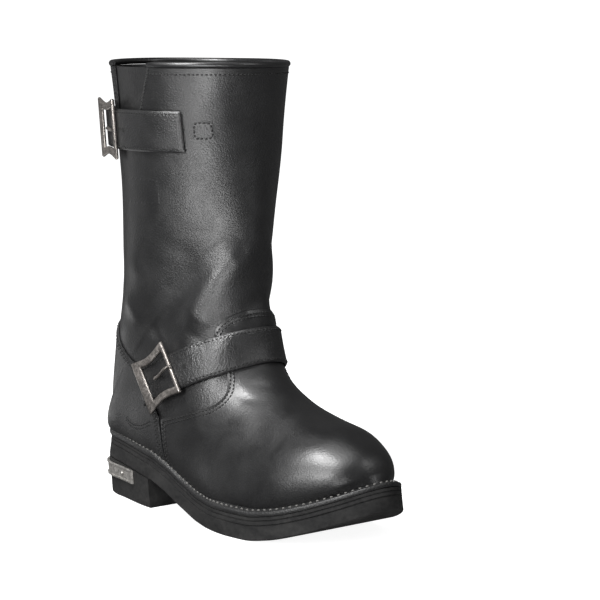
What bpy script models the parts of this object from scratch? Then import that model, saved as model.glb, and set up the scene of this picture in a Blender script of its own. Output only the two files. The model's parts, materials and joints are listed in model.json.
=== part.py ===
"""Engineer boot, a right boot, standing empty on its sole.

Metres, +X to the toe, +Y to the inner (medial) side, +Z up.  Every length is drawn from the back
of the heel, and an empty then puts the origin on the heel's flat bottom face.
"""
import math

import bmesh
import bpy
import numpy as np
from mathutils import Matrix, Vector

MM = 0.001

# Sole
SOLE_LENGTH = 304 * MM
BALL_WIDTH = 112 * MM
HEEL_ROUND = 34 * MM        # length of the rounded end at the heel
TOE_ROUND = 88 * MM         # length of the rounded end at the toe
TOE_SWING = 13 * MM         # how far the toe curves to the inner side
HEEL_SWING = 4 * MM         # how far the heel does
OUTSOLE_THICKNESS = 17.5 * MM
SOLE_FLARE = 1.6 * MM       # how much wider the sole is at its foot than at its top
HEEL_HEIGHT = 31 * MM       # under the sole at the heel's back
BREAST_HEIGHT = 23.5 * MM   # under the sole at the heel's front face
BREAST_X = 86 * MM
TOE_SPRING = 29 * MM
SIDE_GROOVE_DEPTH = 0.8 * MM
SIDE_GROOVE_WIDTH = 1.2 * MM
SIDE_GROOVE_PITCH = 3.4 * MM
SIDE_GROOVES = 2
EDGE_CHAMFER = 1.2 * MM
HEEL_TAPER = 1.6 * MM

# Welt, insole and leather
WELT_THICKNESS = 3.6 * MM
WELT_SETBACK = 2.0 * MM     # the welt's edge inside the outsole's
HEEL_LEDGE = 3.5 * MM       # sole edge to upper, at the heel
TOE_LEDGE = 11.5 * MM       # and at the toe
WELT_INNER = 5 * MM         # how far the welt reaches under the upper
INSOLE_THICKNESS = 4 * MM
INSOLE_CLEARANCE = 1.8 * MM # insole's edge to the wall round it
WALL = 2.2 * MM             # thickness of the upper's leather
SEAM_SPACE = 0.6 * MM       # between the vamp's and the counter's edges
OVERLAY = 1.4 * MM          # thickness of the vamp and counter leather
GAP = 0.3 * MM              # clearance between pieces that touch
OVERLAY_GAP = 0.5 * MM      # clearance under the overlays, which bend two ways
SEAT_GAP = 0.5 * MM         # clearance under the upper's lower edge, which rises to the toe

# Upper
THROAT_HEIGHT = 211 * MM    # front line of the upper where the back seam begins
COLLAR_HEIGHT = 341 * MM
SHAFT_BACK_X = 18 * MM
SHAFT_DEPTH = 150 * MM
SHAFT_WIDTH = 128 * MM
BINDING_DIAMETER = 4.6 * MM

# Slit and gusset at the outer back of the shaft
SLIT_WIDTH = 50 * MM
SLIT_DEPTH = 60 * MM
SLIT_ROUND = 20 * MM        # length of the slit's round foot
SLIT_PLACE = 0.230          # share of the way round the shaft from its back seam, outer side
GUSSET_MARGIN = 7 * MM
GUSSET_THICKNESS = 1.2 * MM
GUSSET_GAP = 0.8 * MM       # behind the wall, which bends

# Straps and buckles
STRAP_THICKNESS = 2.4 * MM
STRAP_LIFT = 0.8 * MM       # straps over the leather under them
INSTEP_STRAP_WIDTH = 29 * MM
TOP_STRAP_WIDTH = 31 * MM
TOP_STRAP_DROP = 47 * MM    # its middle line under the collar
TOP_STRAP_HEIGHT = COLLAR_HEIGHT - TOP_STRAP_DROP
BUCKLE_LENGTH = 36 * MM     # along the strap
BUCKLE_WIDTH = 44 * MM      # across it
TOP_BUCKLE_WIDTH = 46 * MM
BUCKLE_THICKNESS = 3 * MM
BUCKLE_BAR = 8 * MM         # the thick bar
BUCKLE_RAIL = 6 * MM        # its two rails
BUCKLE_PIN = 3 * MM         # the thin bar
BUCKLE_WAIST = 3.5 * MM     # how far the rails curve in
PRONG_DIAMETER = 2.8 * MM

# Heel plate
PLATE_HEIGHT = 11 * MM
PLATE_TOP = 26 * MM
PLATE_THICKNESS = 1.6 * MM
PLATE_BORDER = 1.5 * MM
PLATE_REACH = 63 * MM       # how far forward it comes on both sides
PLATE_SCREW = 3.4 * MM

# The heel's rest point, which is the origin
HEEL_REST_X = 42 * MM
HEEL_REST_Y = 2 * MM

# Half widths of the sole: share of the length, outer and inner half as shares of the ball width
PLAN = (
    (0.00, 0.32, 0.345),
    (0.12, 0.325, 0.35),
    (0.25, 0.375, 0.34),
    (0.38, 0.385, 0.32),
    (0.50, 0.425, 0.365),
    (0.62, 0.50, 0.445),
    (0.72, 0.495, 0.49),
    (0.82, 0.47, 0.50),
    (0.92, 0.41, 0.475),
    (1.00, 0.37, 0.445),
)
HEEL_POWER = 2.25
TOE_POWER = 2.05

# Sections of the foot, from the toe back.  Each stands on the feather edge, where upper meets welt.
# share of the feather edge, crest x over the sole length, crest height over the throat height,
# outer and inner half width half way up over the ball width, power of the vault
FOOT = (
    (0.130, 0.952, 0.252, 0.250, 0.230, 2.20),
    (0.145, 0.944, 0.290, 0.278, 0.258, 2.20),
    (0.165, 0.924, 0.322, 0.308, 0.290, 2.20),
    (0.190, 0.890, 0.350, 0.342, 0.328, 2.20),
    (0.220, 0.843, 0.377, 0.378, 0.366, 2.15),
    (0.260, 0.782, 0.392, 0.404, 0.396, 2.10),
    (0.305, 0.716, 0.412, 0.404, 0.400, 2.05),
    (0.350, 0.650, 0.441, 0.396, 0.394, 2.00),
    (0.400, 0.596, 0.482, 0.380, 0.380, 1.95),
    (0.455, 0.556, 0.530, 0.365, 0.364, 1.90),
    (0.520, 0.524, 0.598, 0.353, 0.353, 1.90),
    (0.590, 0.513, 0.678, 0.350, 0.352, 1.95),
    (0.660, 0.509, 0.758, 0.354, 0.362, 2.00),
    (0.740, 0.508, 0.838, 0.366, 0.379, 2.00),
    (0.830, 0.508, 0.918, 0.380, 0.401, 2.05),
    (0.930, 0.510, 1.000, 0.396, 0.422, 2.10),
)
# Rings of the shaft: height of the back, from seat to collar, height of the crest, from throat to
# collar, crest x over the shaft depth, outer and inner half width over the shaft width
SHAFT = (
    (0.040, 0.110, 0.918, 0.363, 0.388),
    (0.122, 0.222, 0.920, 0.386, 0.406),
    (0.218, 0.333, 0.918, 0.408, 0.416),
    (0.323, 0.452, 0.915, 0.428, 0.428),
    (0.439, 0.570, 0.918, 0.443, 0.442),
    (0.565, 0.681, 0.924, 0.456, 0.454),
    (0.694, 0.793, 0.933, 0.468, 0.466),
    (0.837, 0.896, 0.945, 0.482, 0.480),
    (1.000, 1.000, 0.965, 0.500, 0.496),
)
# Back seam: height from seat to collar, x and y over the shaft depth
BACK_SEAM = (
    (0.00, -0.097, 0.027),
    (0.04, -0.090, 0.030),
    (0.12, -0.053, 0.037),
    (0.22, -0.003, 0.043),
    (0.32, 0.040, 0.050),
    (0.44, 0.063, 0.053),
    (0.57, 0.067, 0.053),
    (0.69, 0.057, 0.053),
    (0.84, 0.033, 0.053),
    (1.00, -0.010, 0.053),
)
# Crest line's place across, from toe to collar, over the ball width
CREST_ACROSS = (0.134, 0.134, 0.132, 0.128, 0.120, 0.112, 0.104, 0.096, 0.088, 0.084, 0.080)


def spline(xs, ys):
    """A natural cubic curve through the points, as a function."""
    x, y = np.asarray(xs, float), np.asarray(ys, float)
    n = len(x)
    h = np.diff(x)
    a = np.eye(n)
    b = np.zeros(n)
    for i in range(1, n - 1):
        a[i, i - 1:i + 2] = h[i - 1], 2 * (h[i - 1] + h[i]), h[i]
        b[i] = 3 * ((y[i + 1] - y[i]) / h[i] - (y[i] - y[i - 1]) / h[i - 1])
    c = np.linalg.solve(a, b)
    slope = np.diff(y) / h - h * (2 * c[:-1] + c[1:]) / 3
    cube = np.diff(c) / (3 * h)

    def at(q):
        q = np.asarray(q, float)
        i = np.clip(np.searchsorted(x, q, side="right") - 1, 0, n - 2)
        t = q - x[i]
        return y[i] + t * (slope[i] + t * (c[i] + t * cube[i]))

    return at


def monotone(xs, ys):
    """A cubic curve through the points that never overshoots them."""
    x, y = np.asarray(xs, float), np.asarray(ys, float)
    h = np.diff(x)
    d = np.diff(y) / h
    m = np.zeros(len(x))
    same = d[:-1] * d[1:] > 0
    before, after = 2 * h[1:] + h[:-1], h[1:] + 2 * h[:-1]
    m[1:-1][same] = (before + after)[same] / (before[same] / d[:-1][same] + after[same] / d[1:][same])
    m[0], m[-1] = d[0], d[-1]

    def at(q):
        q = np.clip(np.asarray(q, float), x[0], x[-1])
        i = np.clip(np.searchsorted(x, q, side="right") - 1, 0, len(x) - 2)
        t = (q - x[i]) / h[i]
        start = y[i] * (1 + 2 * t) * (1 - t) ** 2 + m[i] * h[i] * t * (1 - t) ** 2
        return start + y[i + 1] * t * t * (3 - 2 * t) + m[i + 1] * h[i] * t * t * (t - 1)

    return at


def column(table, k):
    return [row[k] for row in table]


# The sole's outline and heights

outer_half = spline(column(PLAN, 0), [BALL_WIDTH * v for v in column(PLAN, 1)])
inner_half = spline(column(PLAN, 0), [BALL_WIDTH * v for v in column(PLAN, 2)])
BREAST_SHARE = BREAST_X / SOLE_LENGTH
# Underside: share of the length, height
UNDERSIDE = (
    (0.00, HEEL_HEIGHT),
    (BREAST_SHARE, BREAST_HEIGHT),
    (BREAST_SHARE + 0.06, 0.76 * BREAST_HEIGHT),
    (BREAST_SHARE + 0.14, 0.33 * BREAST_HEIGHT),
    (BREAST_SHARE + 0.22, 0.05 * BREAST_HEIGHT),
    (0.56, 0.0),
    (0.70, 0.0),
    (0.775, 0.105 * TOE_SPRING),
    (0.85, 0.32 * TOE_SPRING),
    (0.925, 0.625 * TOE_SPRING),
    (1.00, TOE_SPRING),
)
underside_at = monotone([SOLE_LENGTH * v for v in column(UNDERSIDE, 0)], column(UNDERSIDE, 1))


def outline(share, heel_inset, toe_inset):
    """x, outer y and inner y of the sole's outline, drawn in by an inset that grows to the toe."""
    s = np.clip(np.asarray(share, float), 0, 1)
    x = heel_inset + (SOLE_LENGTH - heel_inset - toe_inset) * s
    inset = heel_inset + (toe_inset - heel_inset) * s
    heel = np.clip(1 - s * SOLE_LENGTH / HEEL_ROUND, 0, 1)
    toe = np.clip(1 - (1 - s) * SOLE_LENGTH / TOE_ROUND, 0, 1)
    end = (1 - heel ** HEEL_POWER) ** (1 / HEEL_POWER) * (1 - toe ** TOE_POWER) ** (1 / TOE_POWER)
    middle = TOE_SWING * np.clip((s - 0.15) / 0.85, 0, 1) ** 1.5
    middle = middle + HEEL_SWING * np.clip(1 - s / 0.4, 0, 1) ** 2
    return x, middle - (outer_half(s) - inset) * end, middle + (inner_half(s) - inset) * end


def seat_at(x):
    """Height of the upper's lower edge, just over the welt."""
    return underside_at(x) + OUTSOLE_THICKNESS + GAP + WELT_THICKNESS + SEAT_GAP


SEAT = float(seat_at(HEEL_LEDGE))

# The upper's surface

FEATHER_SHARES = (1 + np.cos(np.linspace(0, math.pi, 1201))) / 2
FEATHER_X, FEATHER_OUTER, FEATHER_INNER = outline(FEATHER_SHARES, HEEL_LEDGE, TOE_LEDGE)
_steps = np.hypot(np.diff(FEATHER_X), np.diff(FEATHER_OUTER))
FEATHER_ARC = np.concatenate([[0], np.cumsum(_steps)]) / _steps.sum()

FOOT_COUNT = len(FOOT)
LAST = FOOT_COUNT + len(SHAFT) - 1
CLOSE = FOOT_COUNT - 0.4     # where the two lower edges meet and the back seam begins
RISE = COLLAR_HEIGHT - SEAT
_rows = np.arange(LAST + 1)
_shaft_front = COLLAR_HEIGHT - THROAT_HEIGHT

edge_share = monotone([-1, *range(FOOT_COUNT), CLOSE], [FOOT[0][0], *column(FOOT, 0), 1])
crest_x = spline(_rows, [SOLE_LENGTH * r[1] for r in FOOT]
                 + [SHAFT_BACK_X + SHAFT_DEPTH * r[2] for r in SHAFT])
crest_z = spline(_rows, [THROAT_HEIGHT * r[2] for r in FOOT]
                 + [THROAT_HEIGHT + _shaft_front * r[1] for r in SHAFT])
outer_width = spline(_rows, [BALL_WIDTH * r[3] for r in FOOT] + [SHAFT_WIDTH * r[3] for r in SHAFT])
inner_width = spline(_rows, [BALL_WIDTH * r[4] for r in FOOT] + [SHAFT_WIDTH * r[4] for r in SHAFT])
vault = spline(_rows, column(FOOT, 5) + [2.0] * len(SHAFT))
crest_y = spline(np.linspace(0, LAST, len(CREST_ACROSS)), [BALL_WIDTH * v for v in CREST_ACROSS])
back_rise = monotone([CLOSE, *range(FOOT_COUNT, LAST + 1)], [0, *[RISE * r[0] for r in SHAFT]])
seam_x = spline([RISE * r[0] for r in BACK_SEAM], [SHAFT_BACK_X + SHAFT_DEPTH * r[1] for r in BACK_SEAM])
seam_y = spline([RISE * r[0] for r in BACK_SEAM], [SHAFT_DEPTH * r[2] for r in BACK_SEAM])
ROUND = 2.1                  # power of the bulge
# Row of the net, how far the bulge leans to the back seam
LEAN = (
    (0, 1.00),
    (13, 1.00),
    (14, 1.01),
    (15, 1.03),
    (16, 1.10),
    (17, 1.10),
    (18, 1.08),
    (19, 1.05),
    (20, 1.02),
    (21, 1.00),
    (LAST, 1.00),
)
lean = monotone(column(LEAN, 0), column(LEAN, 1))


def base_at(u):
    """Middle and half width of the foot of the section at u."""
    if u < CLOSE:
        share = edge_share(u)
        x = float(np.interp(share, FEATHER_ARC, FEATHER_X))
        outer = float(np.interp(share, FEATHER_ARC, FEATHER_OUTER))
        inner = float(np.interp(share, FEATHER_ARC, FEATHER_INNER))
        return np.array([x, (outer + inner) / 2, float(seat_at(x))]), (inner - outer) / 2
    h = float(back_rise(u))
    return np.array([float(seam_x(h)), float(seam_y(h)), SEAT + h]), 0.0


def spread(points, count):
    """count points spaced evenly along a line."""
    run = np.concatenate([[0], np.cumsum(np.linalg.norm(np.diff(points, axis=0), axis=1))])
    places = np.linspace(0, run[-1], count)
    return np.stack([np.interp(places, run, points[:, k]) for k in range(3)], axis=1)


def half_section(u, middle, side, count):
    """Points from the crest down to the lower edge, on one side.  The vault over the lower edge
    and a round bulge add up to the half width that is given half way up."""
    base, half = base_at(u)
    crest = np.array([float(crest_x(u)), float(crest_y(u)), float(crest_z(u))])
    r = (1 - np.cos(np.linspace(0, math.pi, 241))) / 2
    power = float(vault(u))
    bulge = middle - half * (1 - 0.5 ** power) ** (1 / power)
    width = half * (1 - (1 - r) ** power) ** (1 / power)
    width = width + bulge * (1 - np.abs(2 * r ** float(lean(u)) - 1) ** ROUND) ** (1 / ROUND)
    points = crest + np.outer(r, base - crest)
    points[:, 1] += side * width
    return spread(points, count)


def toe_edge(count):
    """The feather edge round the toe, in front of the first section."""
    share = np.linspace(0, FOOT[0][0], 241)
    x = np.interp(share, FEATHER_ARC, FEATHER_X)
    outer = np.stack([x, np.interp(share, FEATHER_ARC, FEATHER_OUTER), seat_at(x)], axis=1)
    inner = np.stack([x, np.interp(share, FEATHER_ARC, FEATHER_INNER), seat_at(x)], axis=1)
    return np.concatenate([spread(outer, count)[::-1], spread(inner, count)[1:]])


def section(u, count):
    """count points each side, from the outer lower edge over the crest to the inner lower edge."""
    if u < 0:
        front = toe_edge(count)
        return front + (section(0, count) - front) * (u + 1)
    outer = half_section(u, float(outer_width(u)), -1, count)[::-1]
    inner = half_section(u, float(inner_width(u)), 1, count)
    return np.concatenate([outer, inner[1:]])


# A fine net of the surface, read by every piece that lies on it
NET_U = np.linspace(-1, LAST, 521)
NET_HALF = 91
NET = np.array([section(u, NET_HALF) for u in NET_U])


def net_normals():
    along = np.gradient(NET, axis=0)
    across = np.gradient(NET, axis=1)
    ring = NET_U >= CLOSE
    seam = (NET[ring, 1] - NET[ring, -2]) / 2
    across[ring, 0] = seam
    across[ring, -1] = seam
    n = np.cross(across, along)
    # The lower edge is lifted level, away from the shoe
    open_rows = NET_U < CLOSE
    for rows, column_at, run in ((open_rows, 0, along[open_rows, 0]), (open_rows, -1, along[open_rows, -1]),
                                 (0, slice(None), across[0])):
        level = np.stack([run[:, 1], -run[:, 0], np.zeros(len(run))], axis=1)
        facing = np.sign((level * n[rows, column_at]).sum(1, keepdims=True))
        n[rows, column_at] = level * np.where(facing == 0, 1, facing)
    # In front of the first section the net's sides shrink to a point each
    toe = NET_U < 0
    first = np.argmin(toe)
    n[toe, 0] = n[first, 0]
    n[toe, -1] = n[first, -1]
    return n / np.linalg.norm(n, axis=2, keepdims=True)


NET_NORMALS = net_normals()


def read_net(net, u, v):
    """Value of a net at u and v, both arrays."""
    a = (np.clip(np.asarray(u, float), -1, LAST) + 1) / (LAST + 1) * (len(NET_U) - 1)
    b = np.clip(np.asarray(v, float), 0, 1) * (net.shape[1] - 1)
    i = np.minimum(a.astype(int), len(NET_U) - 2)
    j = np.minimum(b.astype(int), net.shape[1] - 2)
    s, t = (a - i)[..., None], (b - j)[..., None]
    low = net[i, j] * (1 - t) + net[i, j + 1] * t
    high = net[i + 1, j] * (1 - t) + net[i + 1, j + 1] * t
    return low * (1 - s) + high * s


def surface(u, v, lift=0.0):
    """Points on the upper's outside, lifted off it along its normal."""
    n = read_net(NET_NORMALS, u, v)
    n = n / np.linalg.norm(n, axis=-1, keepdims=True)
    return read_net(NET, u, v) + n * np.asarray(lift, float)[..., None]


# Building solids


def finish_mesh(name, points, faces, material, smooth=35):
    """A mesh object with welded points and faces that point out."""
    mesh = bpy.data.meshes.new(name)
    bm = bmesh.new()
    made = [bm.verts.new(p) for p in points]
    for face in faces:
        bm.faces.new([made[k] for k in face])
    bmesh.ops.remove_doubles(bm, verts=bm.verts, dist=1e-6)
    bmesh.ops.dissolve_degenerate(bm, edges=bm.edges, dist=1e-7)
    bmesh.ops.recalc_face_normals(bm, faces=bm.faces)
    bm.to_mesh(mesh)
    bm.free()
    mesh.materials.append(material)
    mesh.shade_smooth()
    mesh.set_sharp_from_angle(angle=math.radians(smooth))
    return add(name, mesh)


def add(name, data):
    thing = bpy.data.objects.new(name, data)
    BOOT.objects.link(thing)
    thing.parent = FRAME
    return thing


def skin(name, rings, material, smooth=35):
    """Solid through rings of points.  Each ring runs out along one side and back along the other,
    so that its point k lies across from its point -1 - k, and two strips of faces close the ends."""
    rings = np.asarray(rings, float)
    count, size = rings.shape[:2]
    faces = []
    for i in range(count - 1):
        for k in range(size):
            n = (k + 1) % size
            faces.append((i * size + k, i * size + n, (i + 1) * size + n, (i + 1) * size + k))
    for i in (0, count - 1):
        for k in range(size // 2 - 1):
            faces.append([i * size + q for q in (k, k + 1, size - 2 - k, size - 1 - k)])
    return finish_mesh(name, rings.reshape(-1, 3), faces, material, smooth)


def hoop(name, rings, material, smooth=35):
    """Solid ring: the last ring of points joins the first one."""
    rings = np.asarray(rings, float)
    count, size = rings.shape[:2]
    faces = []
    for i in range(count):
        m = (i + 1) % count
        for k in range(size):
            n = (k + 1) % size
            faces.append((i * size + k, i * size + n, m * size + n, m * size + k))
    return finish_mesh(name, rings.reshape(-1, 3), faces, material, smooth)


def outline_ring(shares, height, heel_inset, toe_inset):
    """The outline as a ring of points, out along the outer side and back along the inner one."""
    x, outer, inner = outline(shares, heel_inset, toe_inset)
    z = height(x) if callable(height) else np.full(len(x), height)
    a = np.stack([x, outer, z], axis=1)
    b = np.stack([x, inner, z], axis=1)
    return np.concatenate([a, b[::-1]])


def stations(count, end=1.0):
    """Shares of the length from 0 to end, evenly spaced along the outline's outer side."""
    share = (1 - np.cos(np.linspace(0, math.pi, 1201))) / 2
    share = share[share <= end + 1e-12]
    x, outer, _ = outline(share, 0.0, 0.0)
    run = np.concatenate([[0], np.cumsum(np.hypot(np.diff(x), np.diff(outer)))])
    return np.interp(np.linspace(0, run[-1], count), run, share)


def make_material(name, color, roughness, metallic=0.0):
    material = bpy.data.materials.new(name)
    material.use_nodes = True
    shader = material.node_tree.nodes["Principled BSDF"]
    shader.inputs["Base Color"].default_value = (*color, 1)
    shader.inputs["Roughness"].default_value = roughness
    shader.inputs["Metallic"].default_value = metallic
    return material


# Panels of the upper, cut from the surface's own lattice

U_LINES = np.concatenate([[-1, -0.5], np.arange(0, 6), np.linspace(6, 12, 9), np.linspace(12, CLOSE, 11)[1:],
                          [FOOT_COUNT + 0.2], np.arange(FOOT_COUNT + 1, LAST + 1)])
V_LINES = np.linspace(0, 1, 27)


def snap_node(i, j):
    """One name for each point of the lattice: the toe's corners and the back seam are shared."""
    last = len(V_LINES) - 1
    if U_LINES[i] < 0 and j in (0, last):
        i = int(np.argmin(np.abs(U_LINES)))
    if U_LINES[i] >= CLOSE - 1e-9 and j == last:
        j = 0
    return i, j


def clip_lattice(keep):
    """Cut the lattice's cells where keep(u, v) turns negative.  Gives places (u, v) and faces."""
    grid_u, grid_v = np.meshgrid(U_LINES, V_LINES, indexing="ij")
    value = keep(grid_u, grid_v)
    value = np.where(np.abs(value) < 1e-9, 1e-9, value)
    places, names, faces = [], {}, []

    def point(name, u, v):
        if name not in names:
            names[name] = len(places)
            places.append((u, v))
        return names[name]

    for i in range(len(U_LINES) - 1):
        for j in range(len(V_LINES) - 1):
            near, far, across, beside = (i, j), (i + 1, j), (i + 1, j + 1), (i, j + 1)
            whole = all(value[c] > 0 for c in (near, far, across, beside))
            for corners in ((near, far, across), (near, across, beside)):
                face = []
                for a, b in zip(corners, corners[1:] + corners[:1]):
                    if value[a] > 0:
                        face.append(point(snap_node(*a), U_LINES[a[0]], V_LINES[a[1]]))
                    if not whole and (value[a] > 0) != (value[b] > 0):
                        low, high = sorted((a, b))
                        t = float(np.clip(value[low] / (value[low] - value[high]), 0.08, 0.92))
                        u = U_LINES[low[0]] * (1 - t) + U_LINES[high[0]] * t
                        v = V_LINES[low[1]] * (1 - t) + V_LINES[high[1]] * t
                        face.append(point(tuple(sorted((snap_node(*low), snap_node(*high)))), u, v))
                face = [p for k, p in enumerate(face) if p != face[k - 1]]
                if len(face) > 2:
                    faces.append(face)
    return np.array(places), faces


def panel(name, keep, low, high, material):
    """Solid between two forms lifted off the upper's surface, kept where keep(u, v) is positive."""
    places, faces = clip_lattice(keep)
    u, v = places[:, 0], places[:, 1]
    foot = (u < CLOSE) & ((v < 1e-9) | (v > 1 - 1e-9)) | (u < -1 + 1e-9)
    layers = []
    for lift in (high, low):
        layer = surface(u, v, np.full(len(u), lift))
        layer[:, 2] = np.maximum(layer[:, 2], seat_at(layer[:, 0]))
        layer[foot, 2] = seat_at(layer[foot, 0])
        layers.append(layer)
    count = len(places)
    every = [list(f) for f in faces] + [[p + count for p in reversed(f)] for f in faces]
    seen = {}
    for face in faces:
        for a, b in zip(face, face[1:] + face[:1]):
            seen.setdefault((min(a, b), max(a, b)), []).append((a, b))
    for runs in seen.values():
        if len(runs) == 1:
            a, b = runs[0]
            every.append([b, a, a + count, b + count])
    return finish_mesh(name, np.concatenate(layers), every, material, 50)


def side_view_distance(curve, x, z):
    """Distance from a closed curve in the side view, positive inside it."""
    shape = np.shape(x)
    q = np.stack([np.ravel(x), np.ravel(z)], axis=1)
    a, b = curve, np.roll(curve, -1, axis=0)
    edge = b - a
    rel = q[:, None] - a[None]
    t = np.clip((rel * edge).sum(2) / np.maximum((edge * edge).sum(1), 1e-15), 0, 1)
    gap = np.linalg.norm(rel - t[..., None] * edge, axis=2).min(1)
    above = (a[None, :, 1] > q[:, None, 1]) != (b[None, :, 1] > q[:, None, 1])
    rise = np.where(np.abs(edge[:, 1]) < 1e-12, 1e-12, edge[:, 1])
    cross = a[None, :, 0] + (q[:, None, 1] - a[None, :, 1]) * edge[None, :, 0] / rise
    inside = (above & (q[:, None, 0] < cross)).sum(1) % 2 == 1
    return np.where(inside, gap, -gap).reshape(shape)


def smooth_line(points, count=60):
    """A smooth line through a few points."""
    p = np.asarray(points, float)
    run = np.concatenate([[0], np.cumsum(np.linalg.norm(np.diff(p, axis=0), axis=1))])
    t = np.linspace(0, run[-1], count)
    return np.stack([spline(run, p[:, k])(t) for k in range(p.shape[1])], axis=1)


# Seams in the side view: x over the sole length, height over the throat height
VAMP_EDGE = (
    (0.342, 0.345),
    (0.380, 0.362),
    (0.430, 0.385),
    (0.474, 0.405),
    (0.506, 0.424),
    (0.521, 0.455),
    (0.516, 0.495),
    (0.497, 0.560),
    (0.472, 0.625),
    (0.466, 0.675),
    (0.480, 0.715),
    (0.510, 0.752),
    (0.560, 0.770),
)
COUNTER_EDGE = (
    (0.337, 0.350),
    (0.290, 0.430),
    (0.240, 0.510),
    (0.195, 0.550),
    (0.165, 0.590),
    (0.135, 0.650),
    (0.080, 0.700),
    (-0.080, 0.740),
)
SEAM_FOOT = (0.356, 0.190)   # where the vamp and counter seam meets the welt
SIDE = np.array([SOLE_LENGTH, THROAT_HEIGHT])


def vamp_region():
    line = smooth_line(np.array(VAMP_EDGE) * SIDE)
    foot = np.array(SEAM_FOOT) * SIDE
    below = [foot[0], -THROAT_HEIGHT]
    front = [[2 * SOLE_LENGTH, -THROAT_HEIGHT], [2 * SOLE_LENGTH, line[-1, 1]]]
    return np.concatenate([[below, foot], line, front[::-1]])


def counter_region():
    line = smooth_line(np.array(COUNTER_EDGE) * SIDE)
    foot = np.array(SEAM_FOOT) * SIDE
    foot[0] -= GAP + SEAM_SPACE
    line[:, 0] -= GAP + SEAM_SPACE
    behind = [[-SOLE_LENGTH, line[-1, 1]], [-SOLE_LENGTH, -THROAT_HEIGHT]]
    return np.concatenate([[[foot[0], -THROAT_HEIGHT], foot], line, behind])


def in_side_view(region):
    def keep(u, v):
        p = surface(u, v)
        return side_view_distance(region, p[..., 0], p[..., 2])

    return keep


def slit_distance(u, v, margin=0.0):
    """Distance outside the slit's outline, positive where leather stays."""
    p = surface(u, v)
    centre = surface(np.full(1, LAST), np.full(1, SLIT_PLACE))[0]
    drop = COLLAR_HEIGHT - p[..., 2]
    along = p[..., 0] - centre[0] + 0.16 * drop
    half = SLIT_WIDTH / 2 * (1 - 0.5 * np.clip(drop / SLIT_DEPTH, 0, 1)) + margin
    foot = np.clip((drop - margin - SLIT_DEPTH + SLIT_ROUND) / SLIT_ROUND, 0, 1)
    half = half * np.sqrt(1 - foot ** 2)
    inside = half - np.abs(along)
    inside = np.minimum(inside, SLIT_DEPTH + margin - drop)
    inside = np.where(v < 0.5, inside, -BALL_WIDTH)
    return -inside


def slit_edges():
    """v of the slit's back and front corners at the collar."""
    v = np.linspace(0, 0.5, 400)
    open_part = v[slit_distance(np.full(400, LAST), v) < 0]
    return open_part[0], open_part[-1]


# Straps


def plane_line(height, slope, count=361):
    """Places (u, v) round the upper where z - slope * x is a given height, as u for each v."""
    v = np.linspace(0, 1, count)
    u = np.linspace(0, LAST, 400)
    grid = surface(*np.meshgrid(u, v, indexing="xy"))
    level = grid[..., 2] - slope * grid[..., 0]
    return np.array([np.interp(height, row, u) for row in level]), v


def band_line(height, slope, start, end, steps):
    """Places along a strap's line, spaced evenly from start on the outer side to end.  Both are
    lengths along the line in the side view.  An end on the inner side is given as (length, True)."""
    u, v = plane_line(height, slope)
    p = surface(u, v)
    along = (p[:, 0] + slope * p[:, 2]) / math.hypot(1, slope)
    outer = np.flatnonzero(v <= 0.5)
    first = np.interp(start, along[outer], v[outer])
    if isinstance(end, tuple):
        inner = np.flatnonzero(v >= 0.5)[::-1]
        last = np.interp(end[0], along[inner], v[inner])
    else:
        last = np.interp(end, along[outer], v[outer])
    fine = np.linspace(first, last, 400)
    points = surface(np.interp(fine, v, u), fine)
    run = np.concatenate([[0], np.cumsum(np.linalg.norm(np.diff(points, axis=0), axis=1))])
    places = np.interp(np.linspace(0, run[-1], steps), run, fine)
    return np.interp(places, v, u), places


def band(name, middle, slope, width, start, end, low, high, material, steps, columns=4):
    """A strap round the upper, lying between two level or slanted planes."""
    tilt = math.hypot(1, slope)
    lines = [band_line(middle + q * tilt, slope, start, end, steps)
             for q in np.linspace(-width / 2, width / 2, columns)]
    top = np.array([surface(u, v, np.full(steps, high)) for u, v in lines]).transpose(1, 0, 2)
    bottom = np.array([surface(u, v, np.full(steps, low)) for u, v in lines]).transpose(1, 0, 2)
    skin(name, np.concatenate([top, bottom[:, ::-1]], axis=1), material, 40)


# The instep strap lies where z - slope * x is one height.  Ends are lengths along it, side view.
INSTEP_SLOPE = 0.47
INSTEP_LEVEL = 0.266 * THROAT_HEIGHT
INSTEP_START = 0.368 * SOLE_LENGTH
INSTEP_END = 0.420 * SOLE_LENGTH
INSTEP_BUCKLE = 0.500 * SOLE_LENGTH
INSTEP_BUCKLE_TURN = math.radians(11)   # the buckle hangs lower at the back than its strap
TOP_STRAP_FRONT = 0.434 * SOLE_LENGTH
TOP_STRAP_BACK = 0.085 * SOLE_LENGTH
TOP_BUCKLE = 0.215 * SOLE_LENGTH

STRAP_LOW = OVERLAY_GAP + OVERLAY + STRAP_LIFT
STRAP_HIGH = STRAP_LOW + STRAP_THICKNESS
TOP_STRAP_LOW = 1.5 * STRAP_LIFT
TOP_STRAP_HIGH = TOP_STRAP_LOW + STRAP_THICKNESS


def build_outsole(material):
    shares = stations(37)
    levels = [(0.0, EDGE_CHAMFER), (EDGE_CHAMFER, 0.0)]
    pitch = SIDE_GROOVE_PITCH
    for k in range(SIDE_GROOVES):
        z = OUTSOLE_THICKNESS - EDGE_CHAMFER - pitch * (SIDE_GROOVES - k - 0.5)
        flare = SOLE_FLARE * z / OUTSOLE_THICKNESS
        levels += [(z - SIDE_GROOVE_WIDTH / 2, flare), (z, flare + SIDE_GROOVE_DEPTH),
                   (z + SIDE_GROOVE_WIDTH / 2, flare)]
    levels += [(OUTSOLE_THICKNESS, SOLE_FLARE)]
    rings = []
    for z, inset in levels:
        rings.append(outline_ring(shares, lambda x, z=z: underside_at(x) + z, inset, inset))
    skin("outsole", rings, material, 30)


def heel_stations():
    return stations(14, BREAST_SHARE)


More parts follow.
